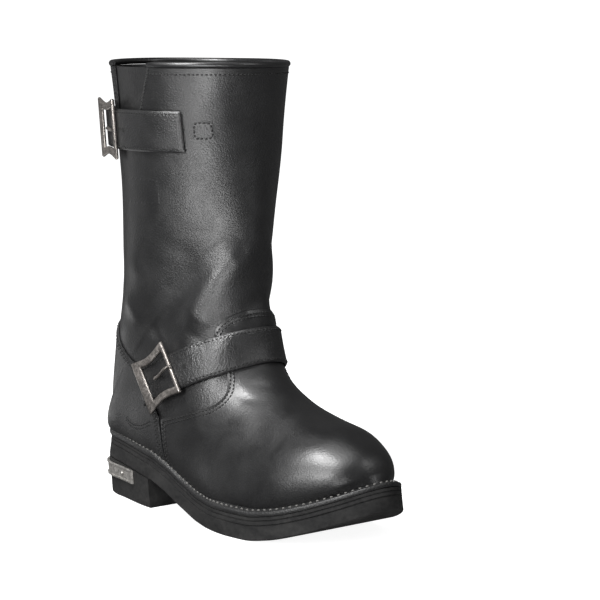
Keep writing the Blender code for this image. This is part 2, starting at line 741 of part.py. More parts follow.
def build_heel(material):
    shares = heel_stations()
    bottom_inset = HEEL_TAPER + EDGE_CHAMFER / 2
    rings = [
        outline_ring(shares, 0.0, bottom_inset, bottom_inset),
        outline_ring(shares, EDGE_CHAMFER / 2, HEEL_TAPER, HEEL_TAPER),
        outline_ring(shares, lambda x: underside_at(x) - GAP, 0.0, 0.0),
    ]
    skin("heel_block", rings, material, 30)


def heel_side_inset(z):
    """How far the heel's side stands inside the sole's outline at a height."""
    return HEEL_TAPER * (1 - (z - EDGE_CHAMFER / 2) / (HEEL_HEIGHT - EDGE_CHAMFER / 2))


def build_heel_plate(metal, dark):
    """A curved plate round the back of the heel: a raised border round a lower panel."""
    side = heel_stations()
    reach = PLATE_REACH / SOLE_LENGTH
    side = np.append(side[(side > 0) & (side < 0.95 * reach)], reach)
    shares = np.concatenate([side[::-1], [0.0], side])
    inner_side = np.arange(len(shares)) > len(side)
    edge = PLATE_BORDER
    low = PLATE_TOP - PLATE_HEIGHT
    profile = [(low, 1.0), (low + edge, 1.0), (low + edge * 1.3, 0.62), (PLATE_TOP - edge * 1.3, 0.62),
               (PLATE_TOP - edge, 1.0), (PLATE_TOP, 1.0)]
    rings = []
    for k, share in enumerate(shares):
        end = k in (0, 1, len(shares) - 2, len(shares) - 1)
        front, back = [], []
        for z, rise in profile:
            thick = PLATE_THICKNESS * (1.0 if end else rise)
            for depth, line in ((OVERLAY_GAP + thick, front), (OVERLAY_GAP, back)):
                inset = heel_side_inset(z) - depth
                x, outer, inner = outline(share, inset, inset)
                line.append((float(x), float(inner if inner_side[k] else outer), z))
        rings.append(front + back[::-1])
    skin("heel_plate", rings, metal, 30)
    place = float(np.interp(0.80, np.linspace(0, 1, len(side)), side))
    z = (low + PLATE_TOP) / 2
    inset = heel_side_inset(z) - OVERLAY_GAP - PLATE_THICKNESS * 0.62
    x, y, _ = outline(place, inset, inset)
    ahead = outline(place + 0.01, inset, inset)
    along = Vector((float(ahead[0] - x), float(ahead[1] - y), 0)).normalized()
    out = Vector((along.y, -along.x, 0))
    head = PLATE_SCREW / 4
    bm = bmesh.new()
    bmesh.ops.create_cone(bm, cap_ends=True, segments=16, radius1=PLATE_SCREW / 2,
                          radius2=PLATE_SCREW / 2.6, depth=head)
    mesh = bpy.data.meshes.new("heel_plate_screw")
    bm.to_mesh(mesh)
    bm.free()
    mesh.materials.append(dark)
    screw = add("heel_plate_screw", mesh)
    middle = Vector((float(x), float(y), z)) + out * (OVERLAY_GAP + head / 2)
    screw.matrix_local = Matrix.Translation(middle) @ out.to_track_quat("Z", "Y").to_matrix().to_4x4()


def build_welt(material):
    shares = stations(41)
    low = OUTSOLE_THICKNESS + GAP
    edges = (
        (low, WELT_SETBACK, WELT_SETBACK),
        (low + WELT_THICKNESS, WELT_SETBACK, WELT_SETBACK),
        (low + WELT_THICKNESS, HEEL_LEDGE + WELT_INNER, TOE_LEDGE + WELT_INNER),
        (low, HEEL_LEDGE + WELT_INNER, TOE_LEDGE + WELT_INNER),
    )
    rings = [outline_ring(shares, lambda x, z=z: underside_at(x) + z, a, b) for z, a, b in edges]
    hoop("welt", rings, material, 30)


def build_insole(material):
    shares = stations(33)
    fill = WELT_INNER + GAP
    rim = WALL + INSOLE_CLEARANCE
    base = OUTSOLE_THICKNESS + GAP
    step = base + WELT_THICKNESS + GAP
    edges = (
        (base, HEEL_LEDGE + fill, TOE_LEDGE + fill),
        (step, HEEL_LEDGE + fill, TOE_LEDGE + fill),
        (step, HEEL_LEDGE + rim, TOE_LEDGE + rim),
        (step + INSOLE_THICKNESS, HEEL_LEDGE + rim, TOE_LEDGE + rim),
    )
    rings = [outline_ring(shares, lambda x, z=z: underside_at(x) + z, a, b) for z, a, b in edges]
    skin("insole", rings, material, 30)


def build_leather(leather, soft):
    panel("upper", slit_distance, -WALL, 0.0, leather)
    panel("vamp", in_side_view(vamp_region()), OVERLAY_GAP, OVERLAY_GAP + OVERLAY, leather)
    panel("heel_counter", in_side_view(counter_region()), OVERLAY_GAP, OVERLAY_GAP + OVERLAY, leather)

    def in_gusset(u, v):
        p = surface(u, v)
        return np.minimum(-slit_distance(u, v, GUSSET_MARGIN), p[..., 2] - COLLAR_HEIGHT + 2 * SLIT_DEPTH)

    panel("gusset", in_gusset, -WALL - GUSSET_GAP - GUSSET_THICKNESS, -WALL - GUSSET_GAP, soft)


def build_binding(material):
    """The rolled edge on the collar, from one corner of the slit round to the other."""
    back, front = slit_edges()
    v = np.linspace(front, 1 + back, 37)
    v = np.where(v > 1, v - 1, v)
    ring = surface(np.full(len(v), LAST), v, np.full(len(v), -WALL / 2))
    ring[:, 2] = COLLAR_HEIGHT + GAP + BINDING_DIAMETER / 2
    curve = bpy.data.curves.new("collar_binding", "CURVE")
    curve.dimensions = "3D"
    line = curve.splines.new("POLY")
    line.points.add(len(ring) - 1)
    for point, place in zip(line.points, ring):
        point.co = (*place, 1)
    curve.bevel_depth = BINDING_DIAMETER / 2
    curve.bevel_resolution = 1
    curve.use_fill_caps = True
    curve.materials.append(material)
    add("collar_binding", curve)


def build_straps(leather):
    band("instep_strap", INSTEP_LEVEL, INSTEP_SLOPE, INSTEP_STRAP_WIDTH, INSTEP_START,
         (INSTEP_END, True), STRAP_LOW, STRAP_HIGH, leather, 30, 3)
    band("top_strap", TOP_STRAP_HEIGHT, 0.0, TOP_STRAP_WIDTH, TOP_STRAP_BACK, TOP_STRAP_FRONT,
         TOP_STRAP_LOW, TOP_STRAP_HIGH, leather, 18, 3)


def strap_frame(level, slope, along, lift):
    """Matrix on a strap's middle line: X along the strap to the front, Z out of the leather."""
    u, v = band_line(level, slope, along, along + 2 * MM, 2)
    here, ahead = surface(u, v)
    x = Vector(ahead - here).normalized()
    z = Vector(surface(u[0], v[0], 1.0) - here).normalized()
    y = z.cross(x).normalized()
    frame = Matrix((y.cross(z), y, z)).transposed().to_4x4()
    frame.translation = Vector(here) + z * lift
    return frame


def buckle_outline(length, width):
    """Outer and inner line of a buckle frame.  The thin bar lies on X = 0 and the rest at -X."""
    half = width / 2
    corner = 3.0 * MM
    top = []
    for t in np.linspace(0, 1, 9):
        x = BUCKLE_PIN / 2 - length * t
        top.append((x, half - BUCKLE_WAIST * math.sin(math.pi * t) ** 1.5 * 0.9 - corner * 0.3 * (t in (0, 1))))
    outer = top + [(x, -y) for x, y in reversed(top)]
    left, right = BUCKLE_PIN / 2 - length + BUCKLE_BAR, -BUCKLE_PIN / 2
    inner = []
    for t in np.linspace(0, 1, 7):
        x = right + (left - right) * t
        s = (BUCKLE_PIN / 2 - x) / length
        inner.append((x, half - BUCKLE_WAIST * math.sin(math.pi * s) ** 1.5 * 0.9 - BUCKLE_RAIL))
    inner = inner + [(x, -y) for x, y in reversed(inner)]
    return outer, inner


def build_buckle(name, matrix, length, width, metal):
    curve = bpy.data.curves.new(name, "CURVE")
    curve.dimensions = "2D"
    curve.fill_mode = "BOTH"
    for loop in buckle_outline(length, width):
        line = curve.splines.new("POLY")
        line.points.add(len(loop) - 1)
        for point, place in zip(line.points, loop):
            point.co = (place[0], place[1], 0, 1)
        line.use_cyclic_u = True
    bevel = 0.5 * MM
    curve.extrude = BUCKLE_THICKNESS / 2 - bevel
    curve.bevel_depth = bevel
    curve.bevel_resolution = 0
    curve.offset = -bevel
    curve.materials.append(metal)
    frame = add(f"{name}_buckle", curve)
    frame.matrix_local = matrix @ Matrix.Translation((0, 0, BUCKLE_THICKNESS / 2))


def build_prong(name, matrix, length, metal):
    """The prong rises from the strap inside the frame and rests on the thin bar."""
    r = PRONG_DIAMETER / 2
    over = BUCKLE_THICKNESS + GAP + r
    route = [(-0.50 * length, 0, r + GAP), (-0.40 * length, 0, r + 1.2 * GAP), (-0.22 * length, 0, over * 0.72),
             (-0.10 * length, 0, over), (0.0, 0, over), (0.07 * length, 0, over * 0.92)]
    curve = bpy.data.curves.new(name, "CURVE")
    curve.dimensions = "3D"
    line = curve.splines.new("POLY")
    line.points.add(len(route) - 1)
    for point, place in zip(line.points, route):
        point.co = (*place, 1)
    curve.bevel_depth = r
    curve.bevel_resolution = 2
    curve.use_fill_caps = True
    curve.materials.append(metal)
    prong = add(f"{name}_prong", curve)
    prong.matrix_local = matrix


def build_buckles(metal):
    instep = strap_frame(INSTEP_LEVEL, INSTEP_SLOPE, INSTEP_BUCKLE, STRAP_HIGH + GAP)
    top = strap_frame(TOP_STRAP_HEIGHT, 0.0, TOP_BUCKLE, TOP_STRAP_HIGH + GAP)
    middle = Matrix.Translation((-BUCKLE_LENGTH / 2, 0, 0))
    instep = instep @ middle @ Matrix.Rotation(INSTEP_BUCKLE_TURN, 4, "Z") @ middle.inverted()
    for name, matrix, width in (("instep", instep, BUCKLE_WIDTH), ("top", top, TOP_BUCKLE_WIDTH)):
        build_buckle(name, matrix, BUCKLE_LENGTH, width, metal)
        build_prong(name, matrix, BUCKLE_LENGTH, metal)


def build():
    rubber = make_material("sole_rubber", (0.035, 0.035, 0.037), 0.75)
    welt = make_material("welt_leather", (0.014, 0.014, 0.015), 0.6)
    leather = make_material("black_leather", (0.012, 0.012, 0.013), 0.42)
    soft = make_material("soft_leather", (0.014, 0.014, 0.015), 0.5)
    board = make_material("insole_board", (0.22, 0.17, 0.12), 0.85)
    metal = make_material("antique_nickel", (0.38, 0.35, 0.32), 0.38, 1.0)
    dark = make_material("screw_steel", (0.3, 0.29, 0.28), 0.4, 1.0)
    build_outsole(rubber)
    build_heel(rubber)
    build_heel_plate(metal, dark)
    build_welt(welt)
    build_insole(board)
    build_leather(leather, soft)
    build_binding(leather)
    build_straps(leather)
    build_buckles(metal)


for old in list(bpy.data.objects):
    bpy.data.objects.remove(old, do_unlink=True)
BOOT = bpy.data.collections.new("engineer_boot")
bpy.context.scene.collection.children.link(BOOT)
FRAME = bpy.data.objects.new("boot_frame", None)
BOOT.objects.link(FRAME)
FRAME.location = (-HEEL_REST_X, -HEEL_REST_Y, 0)
build()
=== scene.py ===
"""Looks of the engineer boot: its leather, seams, thread, metal and rubber, the light and the camera."""

import json
import math

import bpy
import numpy as np
from mathutils import Matrix, Vector
from mathutils.kdtree import KDTree

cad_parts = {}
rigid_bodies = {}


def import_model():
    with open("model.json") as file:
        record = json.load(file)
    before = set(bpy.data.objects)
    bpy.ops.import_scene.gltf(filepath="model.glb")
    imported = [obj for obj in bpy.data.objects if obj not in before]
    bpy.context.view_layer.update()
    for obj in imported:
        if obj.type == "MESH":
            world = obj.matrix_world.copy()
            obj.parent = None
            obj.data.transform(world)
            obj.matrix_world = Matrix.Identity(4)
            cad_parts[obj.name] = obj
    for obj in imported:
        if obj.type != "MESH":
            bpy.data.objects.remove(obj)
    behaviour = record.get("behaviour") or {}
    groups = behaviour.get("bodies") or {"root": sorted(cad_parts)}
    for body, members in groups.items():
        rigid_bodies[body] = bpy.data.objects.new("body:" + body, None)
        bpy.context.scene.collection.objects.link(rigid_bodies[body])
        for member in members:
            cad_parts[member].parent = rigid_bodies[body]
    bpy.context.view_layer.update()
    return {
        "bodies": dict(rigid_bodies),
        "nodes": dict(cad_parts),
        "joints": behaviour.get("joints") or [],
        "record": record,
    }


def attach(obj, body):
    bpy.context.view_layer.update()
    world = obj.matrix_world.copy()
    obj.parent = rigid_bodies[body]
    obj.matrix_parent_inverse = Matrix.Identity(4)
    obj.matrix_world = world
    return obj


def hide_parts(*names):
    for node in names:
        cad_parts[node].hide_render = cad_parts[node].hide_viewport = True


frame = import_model()

MM = 0.001

# Sole
SOLE_LENGTH = 304 * MM
BALL_WIDTH = 112 * MM
HEEL_ROUND = 34 * MM        # length of the rounded end at the heel
TOE_ROUND = 88 * MM         # length of the rounded end at the toe
TOE_SWING = 13 * MM         # how far the toe curves to the inner side
HEEL_SWING = 4 * MM         # how far the heel does
OUTSOLE_THICKNESS = 17.5 * MM
SOLE_FLARE = 1.6 * MM       # how much wider the sole is at its foot than at its top
HEEL_HEIGHT = 31 * MM       # under the sole at the heel's back
BREAST_HEIGHT = 23.5 * MM   # under the sole at the heel's front face
BREAST_X = 86 * MM
TOE_SPRING = 29 * MM
SIDE_GROOVE_DEPTH = 0.8 * MM
SIDE_GROOVE_WIDTH = 1.2 * MM
SIDE_GROOVE_PITCH = 3.4 * MM
SIDE_GROOVES = 2
EDGE_CHAMFER = 1.2 * MM
HEEL_TAPER = 1.6 * MM

# Welt and leather
WELT_THICKNESS = 3.6 * MM
HEEL_LEDGE = 3.5 * MM       # sole edge to upper, at the heel
TOE_LEDGE = 11.5 * MM       # and at the toe
WALL = 2.2 * MM             # thickness of the upper's leather
SEAM_SPACE = 0.6 * MM       # between the vamp's and the counter's edges
OVERLAY = 1.4 * MM          # thickness of the vamp and counter leather
GAP = 0.3 * MM              # clearance between pieces that touch
OVERLAY_GAP = 0.5 * MM      # clearance under the overlays, which bend two ways
SEAT_GAP = 0.5 * MM         # clearance under the upper's lower edge, which rises to the toe

# Upper
THROAT_HEIGHT = 211 * MM    # front line of the upper where the back seam begins
COLLAR_HEIGHT = 341 * MM
SHAFT_BACK_X = 18 * MM
SHAFT_DEPTH = 150 * MM
SHAFT_WIDTH = 128 * MM
BINDING_DIAMETER = 4.6 * MM

# Slit and gusset at the outer back of the shaft
SLIT_WIDTH = 50 * MM
SLIT_DEPTH = 60 * MM
SLIT_ROUND = 20 * MM        # length of the slit's round foot
SLIT_PLACE = 0.230          # share of the way round the shaft from its back seam, outer side
GUSSET_MARGIN = 7 * MM
GUSSET_THICKNESS = 1.2 * MM
GUSSET_GAP = 0.8 * MM       # behind the wall, which bends

# Straps and buckles
STRAP_THICKNESS = 2.4 * MM
STRAP_LIFT = 0.8 * MM       # straps over the leather under them
INSTEP_STRAP_WIDTH = 29 * MM
TOP_STRAP_WIDTH = 31 * MM
TOP_STRAP_DROP = 47 * MM    # its middle line under the collar
TOP_STRAP_HEIGHT = COLLAR_HEIGHT - TOP_STRAP_DROP
BUCKLE_LENGTH = 36 * MM     # along the strap
BUCKLE_WIDTH = 44 * MM      # across it
TOP_BUCKLE_WIDTH = 46 * MM
BUCKLE_THICKNESS = 3 * MM
BUCKLE_BAR = 8 * MM         # the thick bar
BUCKLE_RAIL = 6 * MM        # its two rails
BUCKLE_PIN = 3 * MM         # the thin bar
BUCKLE_WAIST = 3.5 * MM     # how far the rails curve in
PRONG_DIAMETER = 2.8 * MM

# Heel plate
PLATE_HEIGHT = 11 * MM
PLATE_TOP = 26 * MM
PLATE_THICKNESS = 1.6 * MM
PLATE_BORDER = 1.5 * MM
PLATE_REACH = 63 * MM       # how far forward it comes on both sides

# The heel's rest point, which is the origin
HEEL_REST_X = 42 * MM
HEEL_REST_Y = 2 * MM

# Half widths of the sole: share of the length, outer and inner half as shares of the ball width
PLAN = (
    (0.00, 0.32, 0.345),
    (0.12, 0.325, 0.35),
    (0.25, 0.375, 0.34),
    (0.38, 0.385, 0.32),
    (0.50, 0.425, 0.365),
    (0.62, 0.50, 0.445),
    (0.72, 0.495, 0.49),
    (0.82, 0.47, 0.50),
    (0.92, 0.41, 0.475),
    (1.00, 0.37, 0.445),
)
HEEL_POWER = 2.25
TOE_POWER = 2.05

# Sections of the foot, from the toe back.  Each stands on the feather edge, where upper meets welt.
# share of the feather edge, crest x over the sole length, crest height over the throat height,
# outer and inner half width half way up over the ball width, power of the vault
FOOT = (
    (0.130, 0.952, 0.252, 0.250, 0.230, 2.20),
    (0.145, 0.944, 0.290, 0.278, 0.258, 2.20),
    (0.165, 0.924, 0.322, 0.308, 0.290, 2.20),
    (0.190, 0.890, 0.350, 0.342, 0.328, 2.20),
    (0.220, 0.843, 0.377, 0.378, 0.366, 2.15),
    (0.260, 0.782, 0.392, 0.404, 0.396, 2.10),
    (0.305, 0.716, 0.412, 0.404, 0.400, 2.05),
    (0.350, 0.650, 0.441, 0.396, 0.394, 2.00),
    (0.400, 0.596, 0.482, 0.380, 0.380, 1.95),
    (0.455, 0.556, 0.530, 0.365, 0.364, 1.90),
    (0.520, 0.524, 0.598, 0.353, 0.353, 1.90),
    (0.590, 0.513, 0.678, 0.350, 0.352, 1.95),
    (0.660, 0.509, 0.758, 0.354, 0.362, 2.00),
    (0.740, 0.508, 0.838, 0.366, 0.379, 2.00),
    (0.830, 0.508, 0.918, 0.380, 0.401, 2.05),
    (0.930, 0.510, 1.000, 0.396, 0.422, 2.10),
)
# Rings of the shaft: height of the back, from seat to collar, height of the crest, from throat to
# collar, crest x over the shaft depth, outer and inner half width over the shaft width
SHAFT = (
    (0.040, 0.110, 0.918, 0.363, 0.388),
    (0.122, 0.222, 0.920, 0.386, 0.406),
    (0.218, 0.333, 0.918, 0.408, 0.416),
    (0.323, 0.452, 0.915, 0.428, 0.428),
    (0.439, 0.570, 0.918, 0.443, 0.442),
    (0.565, 0.681, 0.924, 0.456, 0.454),
    (0.694, 0.793, 0.933, 0.468, 0.466),
    (0.837, 0.896, 0.945, 0.482, 0.480),
    (1.000, 1.000, 0.965, 0.500, 0.496),
)
# Back seam: height from seat to collar, x and y over the shaft depth
BACK_SEAM = (
    (0.00, -0.097, 0.027),
    (0.04, -0.090, 0.030),
    (0.12, -0.053, 0.037),
    (0.22, -0.003, 0.043),
    (0.32, 0.040, 0.050),
    (0.44, 0.063, 0.053),
    (0.57, 0.067, 0.053),
    (0.69, 0.057, 0.053),
    (0.84, 0.033, 0.053),
    (1.00, -0.010, 0.053),
)
# Crest line's place across, from toe to collar, over the ball width
CREST_ACROSS = (0.134, 0.134, 0.132, 0.128, 0.120, 0.112, 0.104, 0.096, 0.088, 0.084, 0.080)


def spline(xs, ys):
    """A natural cubic curve through the points, as a function."""
    x, y = np.asarray(xs, float), np.asarray(ys, float)
    n = len(x)
    h = np.diff(x)
    a = np.eye(n)
    b = np.zeros(n)
    for i in range(1, n - 1):
        a[i, i - 1:i + 2] = h[i - 1], 2 * (h[i - 1] + h[i]), h[i]
        b[i] = 3 * ((y[i + 1] - y[i]) / h[i] - (y[i] - y[i - 1]) / h[i - 1])
    c = np.linalg.solve(a, b)
    slope = np.diff(y) / h - h * (2 * c[:-1] + c[1:]) / 3
    cube = np.diff(c) / (3 * h)

    def at(q):
        q = np.asarray(q, float)
        i = np.clip(np.searchsorted(x, q, side="right") - 1, 0, n - 2)
        t = q - x[i]
        return y[i] + t * (slope[i] + t * (c[i] + t * cube[i]))

    return at


def monotone(xs, ys):
    """A cubic curve through the points that never overshoots them."""
    x, y = np.asarray(xs, float), np.asarray(ys, float)
    h = np.diff(x)
    d = np.diff(y) / h
    m = np.zeros(len(x))
    same = d[:-1] * d[1:] > 0
    before, after = 2 * h[1:] + h[:-1], h[1:] + 2 * h[:-1]
    m[1:-1][same] = (before + after)[same] / (before[same] / d[:-1][same] + after[same] / d[1:][same])
    m[0], m[-1] = d[0], d[-1]

    def at(q):
        q = np.clip(np.asarray(q, float), x[0], x[-1])
        i = np.clip(np.searchsorted(x, q, side="right") - 1, 0, len(x) - 2)
        t = (q - x[i]) / h[i]
        start = y[i] * (1 + 2 * t) * (1 - t) ** 2 + m[i] * h[i] * t * (1 - t) ** 2
        return start + y[i + 1] * t * t * (3 - 2 * t) + m[i + 1] * h[i] * t * t * (t - 1)

    return at


def column(table, k):
    return [row[k] for row in table]


def arc_of(points):
    """Length run along a line at each of its points."""
    return np.concatenate([[0], np.cumsum(np.linalg.norm(np.diff(points, axis=0), axis=1))])


def read_line(places, run, points):
    """Points at some lengths along a line."""
    return np.stack([np.interp(places, run, points[:, k]) for k in range(points.shape[1])], axis=1)


def unit(vectors):
    return vectors / np.linalg.norm(vectors, axis=-1, keepdims=True)


def circle(size):
    """Angles spaced evenly round a circle."""
    return np.linspace(0, 2 * math.pi, size + 1)[:-1]


# The sole's outline and heights

outer_half, inner_half = (spline(column(PLAN, 0), [BALL_WIDTH * v for v in column(PLAN, k)]) for k in (1, 2))
BREAST_SHARE = BREAST_X / SOLE_LENGTH
# Underside: share of the length, height
UNDERSIDE = (
    (0.00, HEEL_HEIGHT),
    (BREAST_SHARE, BREAST_HEIGHT),
    (BREAST_SHARE + 0.06, 0.76 * BREAST_HEIGHT),
    (BREAST_SHARE + 0.14, 0.33 * BREAST_HEIGHT),
    (BREAST_SHARE + 0.22, 0.05 * BREAST_HEIGHT),
    (0.56, 0.0),
    (0.70, 0.0),
    (0.775, 0.105 * TOE_SPRING),
    (0.85, 0.32 * TOE_SPRING),
    (0.925, 0.625 * TOE_SPRING),
    (1.00, TOE_SPRING),
)
underside_at = monotone([SOLE_LENGTH * v for v in column(UNDERSIDE, 0)], column(UNDERSIDE, 1))


def outline(share, heel_inset, toe_inset):
    """x, outer y and inner y of the sole's outline, drawn in by an inset that grows to the toe."""
    s = np.clip(np.asarray(share, float), 0, 1)
    x = heel_inset + (SOLE_LENGTH - heel_inset - toe_inset) * s
    inset = heel_inset + (toe_inset - heel_inset) * s
    heel = np.clip(1 - s * SOLE_LENGTH / HEEL_ROUND, 0, 1)
    toe = np.clip(1 - (1 - s) * SOLE_LENGTH / TOE_ROUND, 0, 1)
    end = (1 - heel ** HEEL_POWER) ** (1 / HEEL_POWER) * (1 - toe ** TOE_POWER) ** (1 / TOE_POWER)
    middle = TOE_SWING * np.clip((s - 0.15) / 0.85, 0, 1) ** 1.5
    middle = middle + HEEL_SWING * np.clip(1 - s / 0.4, 0, 1) ** 2
    return x, middle - (outer_half(s) - inset) * end, middle + (inner_half(s) - inset) * end


def seat_at(x):
    """Height of the upper's lower edge, just over the welt."""
    return underside_at(x) + OUTSOLE_THICKNESS + GAP + WELT_THICKNESS + SEAT_GAP


SEAT = float(seat_at(HEEL_LEDGE))

# The upper's surface

FEATHER_SHARES = (1 + np.cos(np.linspace(0, math.pi, 1201))) / 2
FEATHER_X, FEATHER_OUTER, FEATHER_INNER = outline(FEATHER_SHARES, HEEL_LEDGE, TOE_LEDGE)
_steps = np.hypot(np.diff(FEATHER_X), np.diff(FEATHER_OUTER))
FEATHER_ARC = np.concatenate([[0], np.cumsum(_steps)]) / _steps.sum()

FOOT_COUNT = len(FOOT)
LAST = FOOT_COUNT + len(SHAFT) - 1
CLOSE = FOOT_COUNT - 0.4     # where the two lower edges meet and the back seam begins
RISE = COLLAR_HEIGHT - SEAT
_rows = np.arange(LAST + 1)
_shaft_front = COLLAR_HEIGHT - THROAT_HEIGHT

edge_share = monotone([-1, *range(FOOT_COUNT), CLOSE], [FOOT[0][0], *column(FOOT, 0), 1])
crest_x = spline(_rows, [SOLE_LENGTH * r[1] for r in FOOT]
                 + [SHAFT_BACK_X + SHAFT_DEPTH * r[2] for r in SHAFT])
crest_z = spline(_rows, [THROAT_HEIGHT * r[2] for r in FOOT]
                 + [THROAT_HEIGHT + _shaft_front * r[1] for r in SHAFT])
outer_width, inner_width = (
    spline(_rows, [BALL_WIDTH * r[k] for r in FOOT] + [SHAFT_WIDTH * r[k] for r in SHAFT]) for k in (3, 4))
vault = spline(_rows, column(FOOT, 5) + [2.0] * len(SHAFT))
crest_y = spline(np.linspace(0, LAST, len(CREST_ACROSS)), [BALL_WIDTH * v for v in CREST_ACROSS])
back_rise = monotone([CLOSE, *range(FOOT_COUNT, LAST + 1)], [0, *[RISE * r[0] for r in SHAFT]])
seam_x = spline([RISE * r[0] for r in BACK_SEAM], [SHAFT_BACK_X + SHAFT_DEPTH * r[1] for r in BACK_SEAM])
seam_y = spline([RISE * r[0] for r in BACK_SEAM], [SHAFT_DEPTH * r[2] for r in BACK_SEAM])
ROUND = 2.1                  # power of the bulge
# Row of the net, how far the bulge leans to the back seam
LEAN = (
    (0, 1.00),
    (13, 1.00),
    (14, 1.01),
    (15, 1.03),
    (16, 1.10),
    (17, 1.10),
    (18, 1.08),
    (19, 1.05),
    (20, 1.02),
    (21, 1.00),
    (LAST, 1.00),
)
lean = monotone(column(LEAN, 0), column(LEAN, 1))


def feather(share):
    """x, outer y and inner y of the feather edge at shares of its length."""
    return [np.interp(share, FEATHER_ARC, line) for line in (FEATHER_X, FEATHER_OUTER, FEATHER_INNER)]


def base_at(u):
    """Middle and half width of the foot of the section at u."""
    if u < CLOSE:
        x, outer, inner = feather(edge_share(u))
        return np.array([x, (outer + inner) / 2, seat_at(x)], float), (inner - outer) / 2
    h = back_rise(u)
    return np.array([seam_x(h), seam_y(h), SEAT + h], float), 0.0


def spread(points, count):
    """count points spaced evenly along a line."""
    run = arc_of(points)
    return read_line(np.linspace(0, run[-1], count), run, points)


def half_section(u, middle, side, count):
    """Points from the crest down to the lower edge, on one side.  The vault over the lower edge
    and a round bulge add up to the half width that is given half way up."""
    base, half = base_at(u)
    crest = np.array([crest_x(u), crest_y(u), crest_z(u)], float)
    r = (1 - np.cos(np.linspace(0, math.pi, 241))) / 2
    power = float(vault(u))
    bulge = middle - half * (1 - 0.5 ** power) ** (1 / power)
    width = half * (1 - (1 - r) ** power) ** (1 / power)
    width = width + bulge * (1 - np.abs(2 * r ** float(lean(u)) - 1) ** ROUND) ** (1 / ROUND)
    points = crest + np.outer(r, base - crest)
    points[:, 1] += side * width
    return spread(points, count)


def toe_edge(count):
    """The feather edge round the toe, in front of the first section."""
    x, *sides = feather(np.linspace(0, FOOT[0][0], 241))
    outer, inner = (spread(np.stack([x, y, seat_at(x)], axis=1), count) for y in sides)
    return np.concatenate([outer[::-1], inner[1:]])


def section(u, count):
    """count points each side, from the outer lower edge over the crest to the inner lower edge."""
    if u < 0:
        front = toe_edge(count)
        return front + (section(0, count) - front) * (u + 1)
    outer = half_section(u, float(outer_width(u)), -1, count)[::-1]
    inner = half_section(u, float(inner_width(u)), 1, count)
    return np.concatenate([outer, inner[1:]])


# A fine net of the surface, read by every piece that lies on it
NET_U = np.linspace(-1, LAST, 521)
NET_HALF = 91
NET = np.array([section(u, NET_HALF) for u in NET_U])


def net_normals():
    along = np.gradient(NET, axis=0)
    across = np.gradient(NET, axis=1)
    ring = NET_U >= CLOSE
    seam = (NET[ring, 1] - NET[ring, -2]) / 2
    across[ring, 0] = seam
    across[ring, -1] = seam
    n = np.cross(across, along)
    # The lower edge is lifted level, away from the shoe
    open_rows = NET_U < CLOSE
    for rows, column_at, run in ((open_rows, 0, along[open_rows, 0]), (open_rows, -1, along[open_rows, -1]),
                                 (0, slice(None), across[0])):
        level = np.stack([run[:, 1], -run[:, 0], np.zeros(len(run))], axis=1)
        facing = np.sign((level * n[rows, column_at]).sum(1, keepdims=True))
        n[rows, column_at] = level * np.where(facing == 0, 1, facing)
    # In front of the first section the net's sides shrink to a point each
    toe = NET_U < 0
    first = np.argmin(toe)
    n[toe, 0] = n[first, 0]
    n[toe, -1] = n[first, -1]
    return unit(n)


NET_NORMALS = net_normals()


def read_net(net, u, v):
    """Value of a net at u and v, both arrays."""
    a = (np.clip(np.asarray(u, float), -1, LAST) + 1) / (LAST + 1) * (len(NET_U) - 1)
    b = np.clip(np.asarray(v, float), 0, 1) * (net.shape[1] - 1)
    i = np.minimum(a.astype(int), len(NET_U) - 2)
    j = np.minimum(b.astype(int), net.shape[1] - 2)
    s, t = (a - i)[..., None], (b - j)[..., None]
    low = net[i, j] * (1 - t) + net[i, j + 1] * t
    high = net[i + 1, j] * (1 - t) + net[i + 1, j + 1] * t
    return low * (1 - s) + high * s


ORIGIN = np.array([HEEL_REST_X, HEEL_REST_Y, 0.0])

# Creases and bends: height in millimetres, width in millimetres, then places x, y, z in millimetres
CREASES = (
    (4.8, 13, (154, 4, 208), (149, -5, 196), (142, -13, 185), (136, -18, 174), (129, -23, 161),
     (125, -25, 153), (121, -28, 142)),
    (-2.4, 9, (154, 3, 156), (150, -8, 149), (143, -18, 142), (135, -25, 135), (126, -29, 127)),
    (-1.6, 9, (130, -24, 200), (120, -31, 186), (110, -37, 172), (104, -38, 160)),
    (1.5, 7, (54, -40, 170), (67, -42, 157), (74, -39, 140)),
    (-2.0, 6, (84, -38, 147), (91, -35, 137), (99, -34, 129)),
    (1.2, 9, (58, -41, 199), (73, -45, 192), (88, -46, 180)),
    (-0.8, 5, (50, -39, 147), (67, -41, 146), (80, -39, 141)),
    (-0.5, 6, (97, -45, 215), (116, -35, 205), (131, -23, 197)),
    (-1.2, 6, (152, -2, 166), (155, 10, 164), (152, 24, 166)),
    (1.6, 9, (152, 20, 208), (143, 36, 190), (128, 44, 172), (118, 46, 155)),
    (-2.4, 9, (150, 26, 170), (138, 40, 156), (122, 46, 143)),
    (0.9, 9, (55, 52, 176), (72, 54, 158), (84, 52, 143)),
    (-0.9, 6, (48, 50, 152), (66, 53, 146), (84, 51, 138)),
    (-0.7, 5, (159, -12, 112), (169, -5, 106), (178, 6, 102)),
    (-0.5, 4, (158, -20, 101), (171, -15, 96), (184, -8, 92)),
)


CREASE_STEP = 2.0            # between the points that a crease is read at, mm
CREASE_FADE = 14             # length over which a crease fades in at its ends, mm
CREASE_END = 0.25            # share of its height that it has at its ends


def sampled(places):
    """Points along a crease, in metres, and its strength at each."""
    p = np.array(places, float)
    run = arc_of(p)
    t = np.linspace(0, run[-1], int(run[-1] / CREASE_STEP) + 2)
    ends = np.clip(np.minimum(t, run[-1] - t) / CREASE_FADE, 0, 1)
    return read_line(t, run, p) * MM, CREASE_END + (1 - CREASE_END) * ends


CREASE_LINES = [(row[0] * MM, row[1] * MM, *sampled(row[2:])) for row in CREASES]


